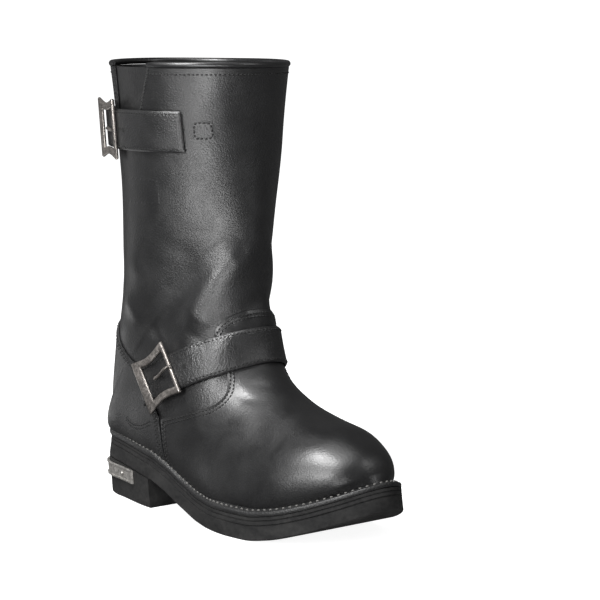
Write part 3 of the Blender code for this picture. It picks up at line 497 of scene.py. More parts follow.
def relief(p):
    """How far the leather stands out of, or in from, the plain form at points p."""
    flat = p.reshape(-1, 3)
    total = np.zeros(len(flat))
    for height, width, line, strength in CREASE_LINES:
        low, high = line.min(0) - 3 * width, line.max(0) + 3 * width
        near = np.flatnonzero(((flat > low) & (flat < high)).all(1))
        if len(near):
            d = np.linalg.norm(flat[near][:, None] - line[None], axis=2)
            k = d.argmin(1)
            total[near] += height * strength[k] * np.exp(-(d[np.arange(len(near)), k] / width) ** 2)
    x, y, z = flat.T / MM
    soft = np.sin(x / 17 + z / 31 + 0.7) * np.sin(z / 23 - y / 29 + 1.1) + 0.6 * np.sin(x / 9.5 - z / 13)
    shaft = np.clip((z - 95) / 40, 0, 1) * np.clip((350 - z) / 60, 0, 1)
    return (total + 0.28 * MM * soft * shaft).reshape(p.shape[:-1])


def normals(u, v):
    return unit(read_net(NET_NORMALS, u, v))


def surface(u, v, lift=0.0):
    """Points on the creased leather, lifted off it along the plain form's normal."""
    p = read_net(NET, u, v)
    return p + normals(u, v) * (np.asarray(lift, float) + relief(p))[..., None]


# Materials


def nodes_of(name, color, roughness, others=()):
    """A material with inputs of its shader set, and the place that its patterns start from."""
    material = bpy.data.materials.new(name)
    material.use_nodes = True
    tree = material.node_tree
    shader = tree.nodes["Principled BSDF"]
    for key, value in (("Base Color", (*color, 1)), ("Roughness", roughness), *others):
        shader.inputs[key].default_value = value
    return material, tree, shader, tree.nodes.new("ShaderNodeTexCoord").outputs["Object"]


def add(tree, kind, numbers, links, out=0, **settings):
    """A shader node with some inputs set and some linked, as one of its outputs."""
    node = tree.nodes.new("ShaderNode" + kind)
    for key, value in settings.items():
        setattr(node, key, value)
    for key, number in numbers.items():
        node.inputs[key].default_value = number
    for key, value in links.items():
        tree.links.new(value, node.inputs[key])
    return node.outputs[out]


def noise(tree, place, scale, detail=2.0, distortion=0.0, stretch=None):
    if stretch:
        place = add(tree, "Mapping", {"Scale": stretch}, {"Vector": place})
    numbers = {"Scale": scale, "Detail": detail, "Distortion": distortion}
    return add(tree, "TexNoise", numbers, {"Vector": place}, "Fac")


def cells(tree, place, scale):
    return add(tree, "TexVoronoi", {"Scale": scale}, {"Vector": place}, "Distance", feature="F1")


def sum_of(tree, *pairs):
    """Weighted sum of values."""
    total = None
    for value, weight in pairs:
        links = {0: value} if total is None else {0: value, 2: total}
        total = add(tree, "Math", {1: weight, 2: 0.0}, links, operation="MULTIPLY_ADD")
    return total


def ramp(tree, value, low, high, at):
    """Map a value from the span at to the span low to high."""
    numbers = {"From Min": at[0], "From Max": at[1], "To Min": low, "To Max": high}
    return add(tree, "MapRange", numbers, {"Value": value})


def groove(tree, name, at, width):
    """A bell over one value of a mesh attribute in millimetres."""
    value = add(tree, "Attribute", {}, {}, "Fac", attribute_name=name)
    for operation, number in (("SUBTRACT", at), ("DIVIDE", width), ("POWER", 2.0), ("MULTIPLY", -1.0)):
        value = add(tree, "Math", {1: number}, {0: value}, operation=operation)
    return add(tree, "Math", {}, {0: value}, operation="EXPONENT")


def bump(tree, shader, height, distance):
    normal = add(tree, "Bump", {"Distance": distance, "Strength": 1.0}, {"Height": height})
    tree.links.new(normal, shader.inputs["Normal"])


def tint(tree, shader, share, dark, bright):
    """The shader's colour, between a dark and a bright one."""
    color = add(tree, "Mix", {6: (*dark, 1), 7: (*bright, 1)}, {0: share}, 2, data_type="RGBA")
    tree.links.new(color, shader.inputs["Base Color"])


def leather(name, shade, rough, grain=1.0, wrinkle=0.0, rows=(), marks=()):
    """Black grained leather.  Rows of stitching pull it in at distances from its edge, in mm."""
    material, tree, shader, place = nodes_of(name, (shade, shade, shade * 1.06), rough[0],
                                             [("Specular IOR Level", 0.7)])
    tree.links.new(ramp(tree, noise(tree, place, 46, 3, 0.4), rough[0], rough[1], (0.35, 0.68)),
                   shader.inputs["Roughness"])
    heights = [(cells(tree, place, 800), 0.13 * grain), (noise(tree, place, 1300, 3), 0.10 * grain),
               (noise(tree, place, 230, 5, 1.2), 0.10 * grain), (noise(tree, place, 60, 3, 0.6), 0.24)]
    if wrinkle:
        heights.append((noise(tree, place, 95, 3, 1.6, (2.4, 2.4, 0.7)), 0.9 * wrinkle))
    for at in rows:
        heights.append((groove(tree, "edge", at, 0.6), -0.10))
    for at in marks:
        heights.append((groove(tree, "mark", at, 0.9), -0.22))
    bump(tree, shader, sum_of(tree, *heights), MM)
    return material


def rubber_look():
    material, tree, shader, place = nodes_of("dusty_rubber", (0.03, 0.03, 0.031), 0.78,
                                             [("Specular IOR Level", 0.22)])
    dust = sum_of(tree, (noise(tree, place, 30, 6, 1.0, (1, 1, 2.4)), 0.6), (noise(tree, place, 320, 4), 0.4))
    tint(tree, shader, ramp(tree, dust, 0.0, 1.0, (0.36, 0.66)), (0.006, 0.006, 0.0063),
         (0.017, 0.0167, 0.0164))
    height = sum_of(tree, (noise(tree, place, 600, 3), 0.16), (noise(tree, place, 90, 4), 0.25))
    bump(tree, shader, height, MM)
    return material


def metal_look(name, color, rough, relief_mm=0.12, patina=0.5):
    material, tree, shader, place = nodes_of(name, color, rough, [("Metallic", 1.0)])
    tint(tree, shader, ramp(tree, noise(tree, place, 640, 5, 0.8), 0.0, 1.0, (0.34, 0.60)),
         [patina * c for c in color], color)
    tree.links.new(ramp(tree, noise(tree, place, 260, 4, 0.5), rough - 0.08, rough + 0.16, (0.3, 0.7)),
                   shader.inputs["Roughness"])
    height = sum_of(tree, (cells(tree, place, 420), relief_mm), (noise(tree, place, 900, 2), 0.04))
    bump(tree, shader, height, MM)
    return material


def plain_look(name, color, rough):
    material, tree, shader, place = nodes_of(name, color, rough)
    bump(tree, shader, noise(tree, place, 1500, 2), 0.1 * MM)
    return material


# Meshes


def make(name, points, faces, material, slot, stands_for=(), values=None, smooth=50):
    """One piece that stands for solids of the part, with its distances kept as mesh attributes."""
    mesh = bpy.data.meshes.new(name)
    mesh.from_pydata((np.asarray(points) - ORIGIN).tolist(), [], [list(f) for f in faces])
    for key, numbers in (values or {}).items():
        layer = mesh.attributes.new(key, "FLOAT", "POINT")
        layer.data.foreach_set("value", np.asarray(numbers, np.float32))
    mesh.materials.append(material)
    mesh.shade_smooth()
    mesh.set_sharp_from_angle(angle=math.radians(smooth))
    piece = bpy.data.objects.new(name, mesh)
    bpy.context.scene.collection.objects.link(piece)
    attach(piece, "root")
    if stands_for:
        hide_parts(*stands_for)


def skin_faces(count, size, closed=False):
    """Faces of a solid through rings of points, as the part's own skin does it."""
    faces = []
    for i in range(count if closed else count - 1):
        m = (i + 1) % count
        faces += [(i * size + k, m * size + k, m * size + (k + 1) % size, i * size + (k + 1) % size)
                  for k in range(size)]
    if not closed:
        for i, turn in ((0, 1), (count - 1, -1)):
            for k in range(size // 2 - 1):
                cap = [i * size + q for q in (k, k + 1, size - 2 - k, size - 1 - k)]
                faces.append(cap[::turn])
    return faces


def skin(name, rings, closed, *rest, **others):
    """One piece whose surface runs through rings of points."""
    make(name, np.concatenate(rings), skin_faces(len(rings), len(rings[0]), closed), *rest, **others)


def tube_faces(count, size, start=0):
    """Faces of a tube through rings of points, with its two flat ends."""
    faces = [[i * size + k, i * size + (k + 1) % size, (i + 1) * size + (k + 1) % size, (i + 1) * size + k]
             for i in range(count - 1) for k in range(size)]
    faces += [list(range(size - 1, -1, -1)), [(count - 1) * size + k for k in range(size)]]
    return [[start + p for p in face] for face in faces]


def distance_to(points, samples):
    tree = KDTree(len(samples))
    for k, p in enumerate(samples):
        tree.insert(p, k)
    tree.balance()
    return np.array([tree.find(p)[2] for p in points])


def clip(us, vs, keep):
    """Cut the lattice's cells where keep turns negative.  Gives places (u, v), faces and cut points."""
    grid_u, grid_v = np.meshgrid(us, vs, indexing="ij")
    value = keep(grid_u, grid_v)
    value = np.where(np.abs(value) < 1e-9, 1e-9, value)
    last, first = len(vs) - 1, int(np.argmin(np.abs(us)))
    places, names, faces, cut = [], {}, [], set()

    def short(i, j):
        if us[i] < 0 and j in (0, last) and vs[j] in (0, 1):
            i = first
        if us[i] >= CLOSE - 1e-9 and vs[j] == 1:
            j = 0
        return i, j

    def point(name, u, v):
        if name not in names:
            names[name] = len(places)
            places.append((u, v))
        return names[name]

    for i in range(len(us) - 1):
        for j in range(last):
            ring = ((i, j), (i, j + 1), (i + 1, j + 1), (i + 1, j))
            kept = [value[c] > 0 for c in ring]
            if not any(kept):
                continue
            face = []
            for k in range(4):
                a, b = ring[k], ring[(k + 1) % 4]
                if value[a] > 0:
                    face.append(point(short(*a), us[a[0]], vs[a[1]]))
                if (value[a] > 0) != (value[b] > 0):
                    low, high = sorted((a, b))
                    t = float(np.clip(value[low] / (value[low] - value[high]), 0.04, 0.96))
                    u = us[low[0]] * (1 - t) + us[high[0]] * t
                    v = vs[low[1]] * (1 - t) + vs[high[1]] * t
                    face.append(point(tuple(sorted((short(*low), short(*high)))), u, v))
                    cut.add(face[-1])
            face = [p for k, p in enumerate(face) if p != face[k - 1]]
            if len(face) > 2:
                faces.append(face)
    return np.array(places), faces, sorted(cut)


ROUNDING = 0.45              # how far a panel's cut edge is rounded over, as a share of its thickness
ROUNDING_WIDTH = 0.9 * MM


def panel(name, us, vs, keep, low, high, material, slot, stands_for, fields=()):
    """A sheet of leather between two lifts off the surface, its cut edge rounded over."""
    places, faces, cut = clip(us, vs, keep)
    u, v = places.T
    foot = (u < CLOSE) & ((v < 1e-9) | (v > 1 - 1e-9)) | (u < -1 + 1e-9)
    rim = surface(u, v, np.full(len(u), high))
    edges = {}
    for face in faces:
        for a, b in zip(face, face[1:] + face[:1]):
            edges.setdefault((min(a, b), max(a, b)), []).append((a, b))
    open_edges = [runs[0] for runs in edges.values() if len(runs) == 1]
    marks = set(cut)
    samples = []
    for a, b in open_edges:
        if a in marks and b in marks:
            samples += [rim[a] * (1 - t) + rim[b] * t for t in np.linspace(0, 1, 6)]
    d = distance_to(rim, samples) if samples else np.full(len(rim), 1.0)
    thick = high - low
    top = surface(u, v, high - ROUNDING * thick * np.exp(-(d / ROUNDING_WIDTH) ** 2))
    bottom = surface(u, v, np.full(len(u), low))
    for layer in (top, bottom):
        layer[:, 2] = np.maximum(layer[:, 2], seat_at(layer[:, 0]))
        layer[foot, 2] = seat_at(layer[foot, 0])
    count = len(u)
    every = [f[::-1] for f in faces] + [[q + count for q in f] for f in faces]
    every += [[a, b, b + count, a + count] for a, b in open_edges]
    values = {"edge": np.tile(d / MM, 2)}
    extra = {key: field(u, v, top) / MM for key, field in fields}
    values.update({key: np.tile(value, 2) for key, value in extra.items()})
    make(name, np.concatenate([top, bottom]), every, material, slot, stands_for, values)
    return {"points": top, "normals": normals(u, v), "faces": faces, "edge": d / MM, **extra}


def level_lines(sheet, key, level):
    """Lines on a sheet where one of its values is a level, as points with their normals."""
    values = sheet[key]
    both = np.concatenate([sheet["points"], sheet["normals"]], axis=1)
    spots, links = {}, {}
    for face in sheet["faces"]:
        ends = []
        for a, b in zip(face, face[1:] + face[:1]):
            if (values[a] > level) != (values[b] > level):
                name = (min(a, b), max(a, b))
                t = (level - values[name[0]]) / (values[name[1]] - values[name[0]])
                spots[name] = both[name[0]] * (1 - t) + both[name[1]] * t
                ends.append(name)
        if len(ends) == 2:
            links.setdefault(ends[0], []).append(ends[1])
            links.setdefault(ends[1], []).append(ends[0])
    lines, seen = [], set()
    starts = sorted(links, key=lambda k: (len(links[k]) != 1, k))
    for start in starts:
        if start in seen:
            continue
        line = [start]
        seen.add(start)
        while True:
            ahead = [q for q in links.get(line[-1], []) if q not in seen]
            if not ahead:
                break
            line.append(ahead[0])
            seen.add(ahead[0])
        if len(line) > 3:
            if len(links[start]) == 2 and line[-1] in links[start]:
                line.append(start)
            lines.append(np.array([spots[q] for q in line]))
    return lines


THREADS = {}


def sew(group, lines, pitch, length, radius, lift=0.0):
    """Stitches along lines of points with normals, gathered in one mesh a group."""
    store = THREADS.setdefault(group, [])
    for line in lines:
        run = arc_of(line[:, :3])
        if run[-1] < 2 * pitch:
            continue
        number = int(run[-1] / pitch)
        middle = (np.arange(number) + 0.5) * run[-1] / number
        ends = [read_line(middle + s * length / 2, run, line) for s in (-1, 1)]
        for a, b in zip(*ends):
            along = b[:3] - a[:3]
            size = np.linalg.norm(along)
            if size < 1e-5:
                continue
            along = along / size
            n = a[3:] + b[3:]
            n = n - along * (n @ along)
            n = n / np.linalg.norm(n)
            store.append(((a[:3] + b[:3]) / 2 + n * lift, along, n, length, radius))


# Rings of a stitch: place along it, share of its radius, how deep it dips into the leather
STITCH_RINGS = ((-0.5, 0.45, 0.7), (-0.33, 1.0, 0.0), (0.33, 1.0, 0.0), (0.5, 0.45, 0.7))
STITCH_SIDES = 6


def finish_threads(looks):
    for group, stitches in THREADS.items():
        points, faces = [], []
        for centre, along, n, length, radius in stitches:
            side = np.cross(along, n)
            faces += tube_faces(len(STITCH_RINGS), STITCH_SIDES, len(points))
            for s, r, drop in STITCH_RINGS:
                for t in circle(STITCH_SIDES):
                    ring = side * math.cos(t) + n * math.sin(t)
                    points.append(centre + along * s * length + ring * radius * r - n * radius * drop)
        material, slot = looks[group]
        make(group, points, faces, material, slot, smooth=80)


# Seams of the part


def side_view_distance(curve, x, z):
    """Distance from a closed curve in the side view, positive inside it."""
    shape = np.shape(x)
    q = np.stack([np.ravel(x), np.ravel(z)], axis=1)
    a, b = curve, np.roll(curve, -1, axis=0)
    edge = b - a
    rel = q[:, None] - a[None]
    t = np.clip((rel * edge).sum(2) / np.maximum((edge * edge).sum(1), 1e-15), 0, 1)
    gap = np.linalg.norm(rel - t[..., None] * edge, axis=2).min(1)
    above = (a[None, :, 1] > q[:, None, 1]) != (b[None, :, 1] > q[:, None, 1])
    rise = np.where(np.abs(edge[:, 1]) < 1e-12, 1e-12, edge[:, 1])
    cross = a[None, :, 0] + (q[:, None, 1] - a[None, :, 1]) * edge[None, :, 0] / rise
    inside = (above & (q[:, None, 0] < cross)).sum(1) % 2 == 1
    return np.where(inside, gap, -gap).reshape(shape)


def smooth_line(points, count=60):
    """A smooth line through a few points."""
    p = np.asarray(points, float)
    run = arc_of(p)
    t = np.linspace(0, run[-1], count)
    return np.stack([spline(run, p[:, k])(t) for k in range(p.shape[1])], axis=1)


# Seams in the side view: x over the sole length, height over the throat height
VAMP_EDGE = (
    (0.342, 0.345),
    (0.380, 0.362),
    (0.430, 0.385),
    (0.474, 0.405),
    (0.506, 0.424),
    (0.521, 0.455),
    (0.516, 0.495),
    (0.497, 0.560),
    (0.472, 0.625),
    (0.466, 0.675),
    (0.480, 0.715),
    (0.510, 0.752),
    (0.560, 0.770),
)
COUNTER_EDGE = (
    (0.337, 0.350),
    (0.290, 0.430),
    (0.240, 0.510),
    (0.195, 0.550),
    (0.165, 0.590),
    (0.135, 0.650),
    (0.080, 0.700),
    (-0.080, 0.740),
)
SEAM_FOOT = (0.356, 0.190)   # where the vamp and counter seam meets the welt
SIDE = np.array([SOLE_LENGTH, THROAT_HEIGHT])


def vamp_region():
    line = smooth_line(np.array(VAMP_EDGE) * SIDE)
    foot = np.array(SEAM_FOOT) * SIDE
    below = [foot[0], -THROAT_HEIGHT]
    front = [[2 * SOLE_LENGTH, -THROAT_HEIGHT], [2 * SOLE_LENGTH, line[-1, 1]]]
    return np.concatenate([[below, foot], line, front[::-1]])


def counter_region():
    line = smooth_line(np.array(COUNTER_EDGE) * SIDE)
    foot = np.array(SEAM_FOOT) * SIDE
    foot[0] -= GAP + SEAM_SPACE
    line[:, 0] -= GAP + SEAM_SPACE
    behind = [[-SOLE_LENGTH, line[-1, 1]], [-SOLE_LENGTH, -THROAT_HEIGHT]]
    return np.concatenate([[[foot[0], -THROAT_HEIGHT], foot], line, behind])


def in_side_view(region):
    def keep(u, v):
        p = read_net(NET, u, v)
        return side_view_distance(region, p[..., 0], p[..., 2])

    return keep


def slit_distance(u, v, margin=0.0):
    """Distance outside the slit's outline, positive where leather stays."""
    p = surface(u, v)
    centre = surface(np.full(1, LAST), np.full(1, SLIT_PLACE))[0]
    drop = COLLAR_HEIGHT - p[..., 2]
    along = p[..., 0] - centre[0] + 0.16 * drop
    half = SLIT_WIDTH / 2 * (1 - 0.5 * np.clip(drop / SLIT_DEPTH, 0, 1)) + margin
    foot = np.clip((drop - margin - SLIT_DEPTH + SLIT_ROUND) / SLIT_ROUND, 0, 1)
    half = half * np.sqrt(1 - foot ** 2)
    inside = half - np.abs(along)
    inside = np.minimum(inside, SLIT_DEPTH + margin - drop)
    inside = np.where(v < 0.5, inside, -BALL_WIDTH)
    return -inside


def slit_edges():
    """v of the slit's back and front corners at the collar."""
    v = np.linspace(0, 0.5, 400)
    open_part = v[slit_distance(np.full(400, LAST), v) < 0]
    return open_part[0], open_part[-1]


# Straps of the part

def plane_line(height, slope, count=361):
    """Places (u, v) round the upper where z - slope * x is a given height, as u for each v."""
    v = np.linspace(0, 1, count)
    u = np.linspace(0, LAST, 400)
    grid = surface(*np.meshgrid(u, v, indexing="xy"))
    level = grid[..., 2] - slope * grid[..., 0]
    return np.array([np.interp(height, row, u) for row in level]), v


def band_line(height, slope, start, end, steps):
    """Places along a strap's line, spaced evenly from start on the outer side to end.  Both are
    lengths along the line in the side view.  An end on the inner side is given as (length, True)."""
    u, v = plane_line(height, slope)
    p = surface(u, v)
    along = (p[:, 0] + slope * p[:, 2]) / math.hypot(1, slope)
    outer = np.flatnonzero(v <= 0.5)
    first = np.interp(start, along[outer], v[outer])
    if isinstance(end, tuple):
        inner = np.flatnonzero(v >= 0.5)[::-1]
        last = np.interp(end[0], along[inner], v[inner])
    else:
        last = np.interp(end, along[outer], v[outer])
    fine = np.linspace(first, last, 400)
    points = surface(np.interp(fine, v, u), fine)
    run = arc_of(points)
    places = np.interp(np.linspace(0, run[-1], steps), run, fine)
    return np.interp(places, v, u), places


# The instep strap lies where z - slope * x is one height.  Ends are lengths along it, side view.
INSTEP_SLOPE = 0.47
INSTEP_LEVEL = 0.266 * THROAT_HEIGHT
INSTEP_START = 0.368 * SOLE_LENGTH
INSTEP_END = 0.420 * SOLE_LENGTH
INSTEP_BUCKLE = 0.500 * SOLE_LENGTH
INSTEP_BUCKLE_TURN = math.radians(11)   # the buckle hangs lower at the back than its strap
TOP_STRAP_FRONT = 0.434 * SOLE_LENGTH
TOP_STRAP_BACK = 0.085 * SOLE_LENGTH
TOP_BUCKLE = 0.215 * SOLE_LENGTH

STRAP_LOW = OVERLAY_GAP + OVERLAY + STRAP_LIFT
STRAP_HIGH = STRAP_LOW + STRAP_THICKNESS
TOP_STRAP_LOW = 1.5 * STRAP_LIFT
TOP_STRAP_HIGH = TOP_STRAP_LOW + STRAP_THICKNESS


def strap_frame(level, slope, along, lift):
    """Matrix on a strap's middle line: X along the strap to the front, Z out of the leather."""
    u, v = band_line(level, slope, along, along + 2 * MM, 2)
    here, ahead = surface(u, v)
    x = Vector(ahead - here).normalized()
    z = Vector(surface(u[0], v[0], 1.0) - here).normalized()
    y = z.cross(x).normalized()
    frame = Matrix((y.cross(z), y, z)).transposed().to_4x4()
    frame.translation = Vector(here) + z * lift
    return frame


# Leather


EDGE_ROWS = (2.2, 4.9)       # rows of stitching in the overlays, mm from their edges
SLIT_ROW = 2.4
STRAP_ROW = 2.2
COLLAR_ROW = 4.5             # under the collar's edge

black = leather("black_leather_look", 0.005, (0.36, 0.47), 0.8, 0.0, (SLIT_ROW,), (0.0,))
polished = leather("vamp_leather_look", 0.005, (0.34, 0.45), 0.45, 0.0, EDGE_ROWS)
counter_look = leather("counter_leather_look", 0.006, (0.42, 0.54), 1.1, 0.0, EDGE_ROWS)
strap_look = leather("strap_leather_look", 0.005, (0.34, 0.46), 1.3, 0.32, (STRAP_ROW,))
top_strap_look = leather("top_strap_leather_look", 0.005, (0.38, 0.48), 1.2, 0.0, (STRAP_ROW,))
# The gusset's tone, darker than the upper's, is painted shade of its recess behind the slit; its rougher,
# wrinkled grain is its own
gusset_painted_shade_look = leather("gusset_leather_painted_shade_look", 0.004, (0.42, 0.56), 0.8, 0.3)
binding_look = leather("binding_leather_look", 0.006, (0.28, 0.40), 0.6)
welt_look = leather("welt_leather_look", 0.005, (0.45, 0.6), 1.4)
rubber = rubber_look()
pewter = metal_look("pewter_look", (0.35, 0.325, 0.305), 0.42)
plate_metal = metal_look("plate_look", (0.66, 0.64, 0.61), 0.50, 0.03, 0.6)
board = plain_look("insole_look", (0.13, 0.095, 0.065), 0.8)
dark_thread = plain_look("dark_thread_look", (0.003, 0.003, 0.003), 0.8)
grey_thread = plain_look("grey_thread_look", (0.085, 0.082, 0.078), 0.7)
# Near black colour of the strap holes' discs: painted shade of the inside of the holes
painted_hole_shade_look = plain_look("painted_hole_shade_look", (0.002, 0.002, 0.002), 0.9)

# Marks on the outer side, as their least and most x and z: a pressed border and a sewn square
LABEL = (0.051, 0.108, 0.239, 0.257)
SQUARE = (0.1382, 0.1466, 0.2888, 0.3006)
UNMARKED = 60 * MM           # the distance that the inner side is given
# The double seam on the counter, below the instep strap's outer end, x and z
CHAPE_LINE = ((0.0555, 0.0685), (0.060, 0.0655), (0.068, 0.0635), (0.078, 0.0645), (0.092, 0.070))


def box_distance(box, x, z):
    """Distance from a rectangle's border in the side view, negative inside."""
    dx = np.maximum(box[0] - x, x - box[1])
    dz = np.maximum(box[2] - z, z - box[3])
    outside = np.hypot(np.maximum(dx, 0), np.maximum(dz, 0))
    return np.where(np.maximum(dx, dz) > 0, outside, np.maximum(dx, dz))


def square_field(u, v, p):
    return np.where(v < 0.5, box_distance(SQUARE, p[:, 0], p[:, 2]), UNMARKED)


def mark_field(u, v, p):
    label = box_distance(LABEL, p[:, 0], p[:, 2])
    return np.where(v < 0.5, np.minimum(np.abs(label), np.abs(square_field(u, v, p))), UNMARKED)


def collar_field(u, v, p):
    return COLLAR_HEIGHT - read_net(NET, u, v)[:, 2]


def laid(sheet, places):
    """A line of points with normals on the outer side of a sheet, through places x and z."""
    places = smooth_line(places, 40)
    outer = sheet["normals"][:, 1] < 0
    points, out = sheet["points"][outer], sheet["normals"][outer]
    line = []
    for x, z in places:
        d = np.hypot(points[:, 0] - x, points[:, 2] - z)
        near = np.argsort(d)[:6]
        weight = 1 / (d[near] + 0.2 * MM)
        weight /= weight.sum()
        line.append(np.concatenate([(x, weight @ points[near, 1], z), weight @ out[near]]))
    return np.array(line)


def lattice(toe, foot, shaft, top=LAST):
    """u of a panel's rows, with counts for the toe, the foot and the shaft."""
    return np.concatenate([np.linspace(-1, 0, toe)[:-1], np.linspace(0, CLOSE, foot)[:-1],
                           np.linspace(CLOSE, top, shaft)])


upper = panel("upper_leather", lattice(7, 96, 62), np.linspace(0, 1, 181), slit_distance, -WALL, 0.0, black,
              "black_leather", ["upper"],
              [("mark", mark_field), ("square", square_field), ("collar", collar_field)])
FINE_US = lattice(11, 150, 24, 18.5)
FINE_VS = np.linspace(0, 1, 201)
OVERLAY_TOP = OVERLAY_GAP + OVERLAY
vamp = panel("vamp_leather", FINE_US[FINE_US < 16.5], FINE_VS, in_side_view(vamp_region()),
             OVERLAY_GAP, OVERLAY_TOP, polished, "vamp_leather", ["vamp"])
counter = panel("counter_leather", FINE_US[FINE_US > 9.5], FINE_VS, in_side_view(counter_region()),
                OVERLAY_GAP, OVERLAY_TOP, counter_look, "black_leather", ["heel_counter"])


def in_gusset(u, v):
    p = read_net(NET, u, v)
    return np.minimum(-slit_distance(u, v, GUSSET_MARGIN), p[..., 2] - COLLAR_HEIGHT + 2 * SLIT_DEPTH)


panel("gusset_leather", np.linspace(19, LAST, 40), np.linspace(0, 0.5, 90), in_gusset,
      -WALL - GUSSET_GAP - GUSSET_THICKNESS, -WALL - GUSSET_GAP, gusset_painted_shade_look, "gusset_leather", ["gusset"])

# Stitches: pitch, length, radius
SEAM_STITCH = (3.0 * MM, 2.0 * MM, 0.55 * MM)
COLLAR_STITCH = (3.3 * MM, 2.3 * MM, 0.58 * MM)
SLIT_STITCH = (3.1 * MM, 2.1 * MM, 0.55 * MM)
SQUARE_STITCH = (3.1 * MM, 2.2 * MM, 0.65 * MM)
STRAP_STITCH = (3.1 * MM, 2.2 * MM, 0.56 * MM)
WELT_STITCH = (5.4 * MM, 2.2 * MM, 0.7 * MM)
CHAPE_ROW = 2.6 * MM         # between the two rows of the double seam on the counter

for sheet in (vamp, counter):
    for at in EDGE_ROWS:
        sew("dark_stitches", level_lines(sheet, "edge", at), *SEAM_STITCH)
for drop in (0.0, CHAPE_ROW):
    sew("dark_stitches", [laid(counter, [(x, z - drop) for x, z in CHAPE_LINE])], *SEAM_STITCH)
for key, level, stitch in (("collar", COLLAR_ROW, COLLAR_STITCH), ("edge", SLIT_ROW, SLIT_STITCH),
                           ("square", 0.0, SQUARE_STITCH)):
    sew("dark_stitches", level_lines(upper, key, level), *stitch)

# Straps
STRAP_ROUNDING = 0.42        # how far a strap's edge is rounded over, as a share of its thickness
STRAP_ROUNDING_WIDTH = 0.8 * MM
STRAP_PADDING = 0.25 * MM    # how much higher a strap's middle is than its edges
STRAP_STEPS = 150
TOP_STRAP_STEPS = 110
STRAP_COLUMNS = 15


def strap(name, middle, slope, width, start, end, low, high, look, stands_for, steps):
    """A strap's leather, padded and rounded over, with a row of stitching along both edges."""
    tilt = math.hypot(1, slope)
    q = -np.cos(np.linspace(0, math.pi, STRAP_COLUMNS)) / 2
    thick = high - low
    lines = [band_line(middle + s * width * tilt, slope, start, end, steps) for s in q]
    rings_top, rings_low, edge = [], [], []
    ends = np.minimum(np.arange(steps), np.arange(steps)[::-1])
    length = np.linalg.norm(np.diff(surface(*lines[STRAP_COLUMNS // 2]), axis=0), axis=1).sum()
    from_end = ends * length / (steps - 1)
    for s, (u, v) in zip(q, lines):
        d = np.minimum((0.5 - abs(s)) * width, from_end)
        round_over = STRAP_ROUNDING * thick * np.exp(-(d / STRAP_ROUNDING_WIDTH) ** 2)
        padding = STRAP_PADDING * (1 - (2 * s) ** 4)
        rings_top.append(surface(u, v, high - round_over + padding))
        rings_low.append(surface(u, v, low + 0.5 * round_over))
        edge.append(d / MM)
    top = np.array(rings_top).transpose(1, 0, 2)
    bottom = np.array(rings_low).transpose(1, 0, 2)
    edge = np.array(edge).T
    rings = np.concatenate([top, bottom[:, ::-1]], axis=1)
    values = {"edge": np.concatenate([edge, edge[:, ::-1]], axis=1).ravel()}
    skin(name, rings, False, look, "black_leather", stands_for, values)
    for s in (-1, 1):
        inside = (width / 2 - STRAP_ROW * MM) * s
        u, v = band_line(middle + inside * tilt, slope, start, end, steps)
        line = np.concatenate([surface(u, v, np.full(steps, high)), normals(u, v)], axis=1)
        sew("dark_stitches", [line[3:-3]], *STRAP_STITCH)


strap("instep_strap_leather", INSTEP_LEVEL, INSTEP_SLOPE, INSTEP_STRAP_WIDTH, INSTEP_START,
      (INSTEP_END, True), STRAP_LOW, STRAP_HIGH, strap_look, ["instep_strap"], STRAP_STEPS)
strap("top_strap_leather", TOP_STRAP_HEIGHT, 0.0, TOP_STRAP_WIDTH, TOP_STRAP_BACK, TOP_STRAP_FRONT,
      TOP_STRAP_LOW, TOP_STRAP_HIGH, top_strap_look, ["top_strap"], TOP_STRAP_STEPS)

BINDING_STEPS = 150
BINDING_SIDES = 16
BINDING_WAVE = 0.35 * MM     # how far the binding rises and falls round the collar
BINDING_STRETCH = 1.05       # its height over its width


def binding():
    """The rolled edge on the collar."""
    back, front = slit_edges()
    v = np.linspace(front, 1 + back, BINDING_STEPS)
    v = np.where(v > 1, v - 1, v)
    ring = surface(np.full(len(v), LAST), v, np.full(len(v), -WALL / 2))
    wave = np.sin(np.linspace(0, 14, len(v))) * np.sin(np.linspace(0, 5.3, len(v)))
    ring[:, 2] = COLLAR_HEIGHT + GAP + BINDING_DIAMETER / 2 + BINDING_WAVE * wave
    up = np.array([0, 0, 1.0])
    side = unit(np.cross(unit(np.gradient(ring, axis=0)), up))
    points = []
    for k, p in enumerate(ring):
        radius = BINDING_DIAMETER / 2 * min(1.0, 0.55 + 0.15 * min(k, len(ring) - 1 - k))
        points += [p + (side[k] * math.cos(t) + up * math.sin(t) * BINDING_STRETCH) * radius
                   for t in circle(BINDING_SIDES)]
    faces = tube_faces(BINDING_STEPS, BINDING_SIDES)
    make("collar_binding_leather", points, faces, binding_look, "black_leather", ["collar_binding"])


binding()

# Sole


def ring_of(shares, height, heel_inset, toe_inset, flat=False):
    """The sole's outline at a height over its underside, or flat over the floor."""
    x, *sides = outline(shares, heel_inset, toe_inset)
    z = np.full(len(x), height) if flat else underside_at(x) + height
    outer, inner = (np.stack([x, y, z], axis=1) for y in sides)
    return np.concatenate([outer, inner[::-1]])


def stations(count, end=1.0):
    share = (1 - np.cos(np.linspace(0, math.pi, 1201))) / 2
    share = share[share <= end + 1e-12]
    x, outer, _ = outline(share, 0.0, 0.0)
    run = np.concatenate([[0], np.cumsum(np.hypot(np.diff(x), np.diff(outer)))])
    return np.interp(np.linspace(0, run[-1], count), run, share)


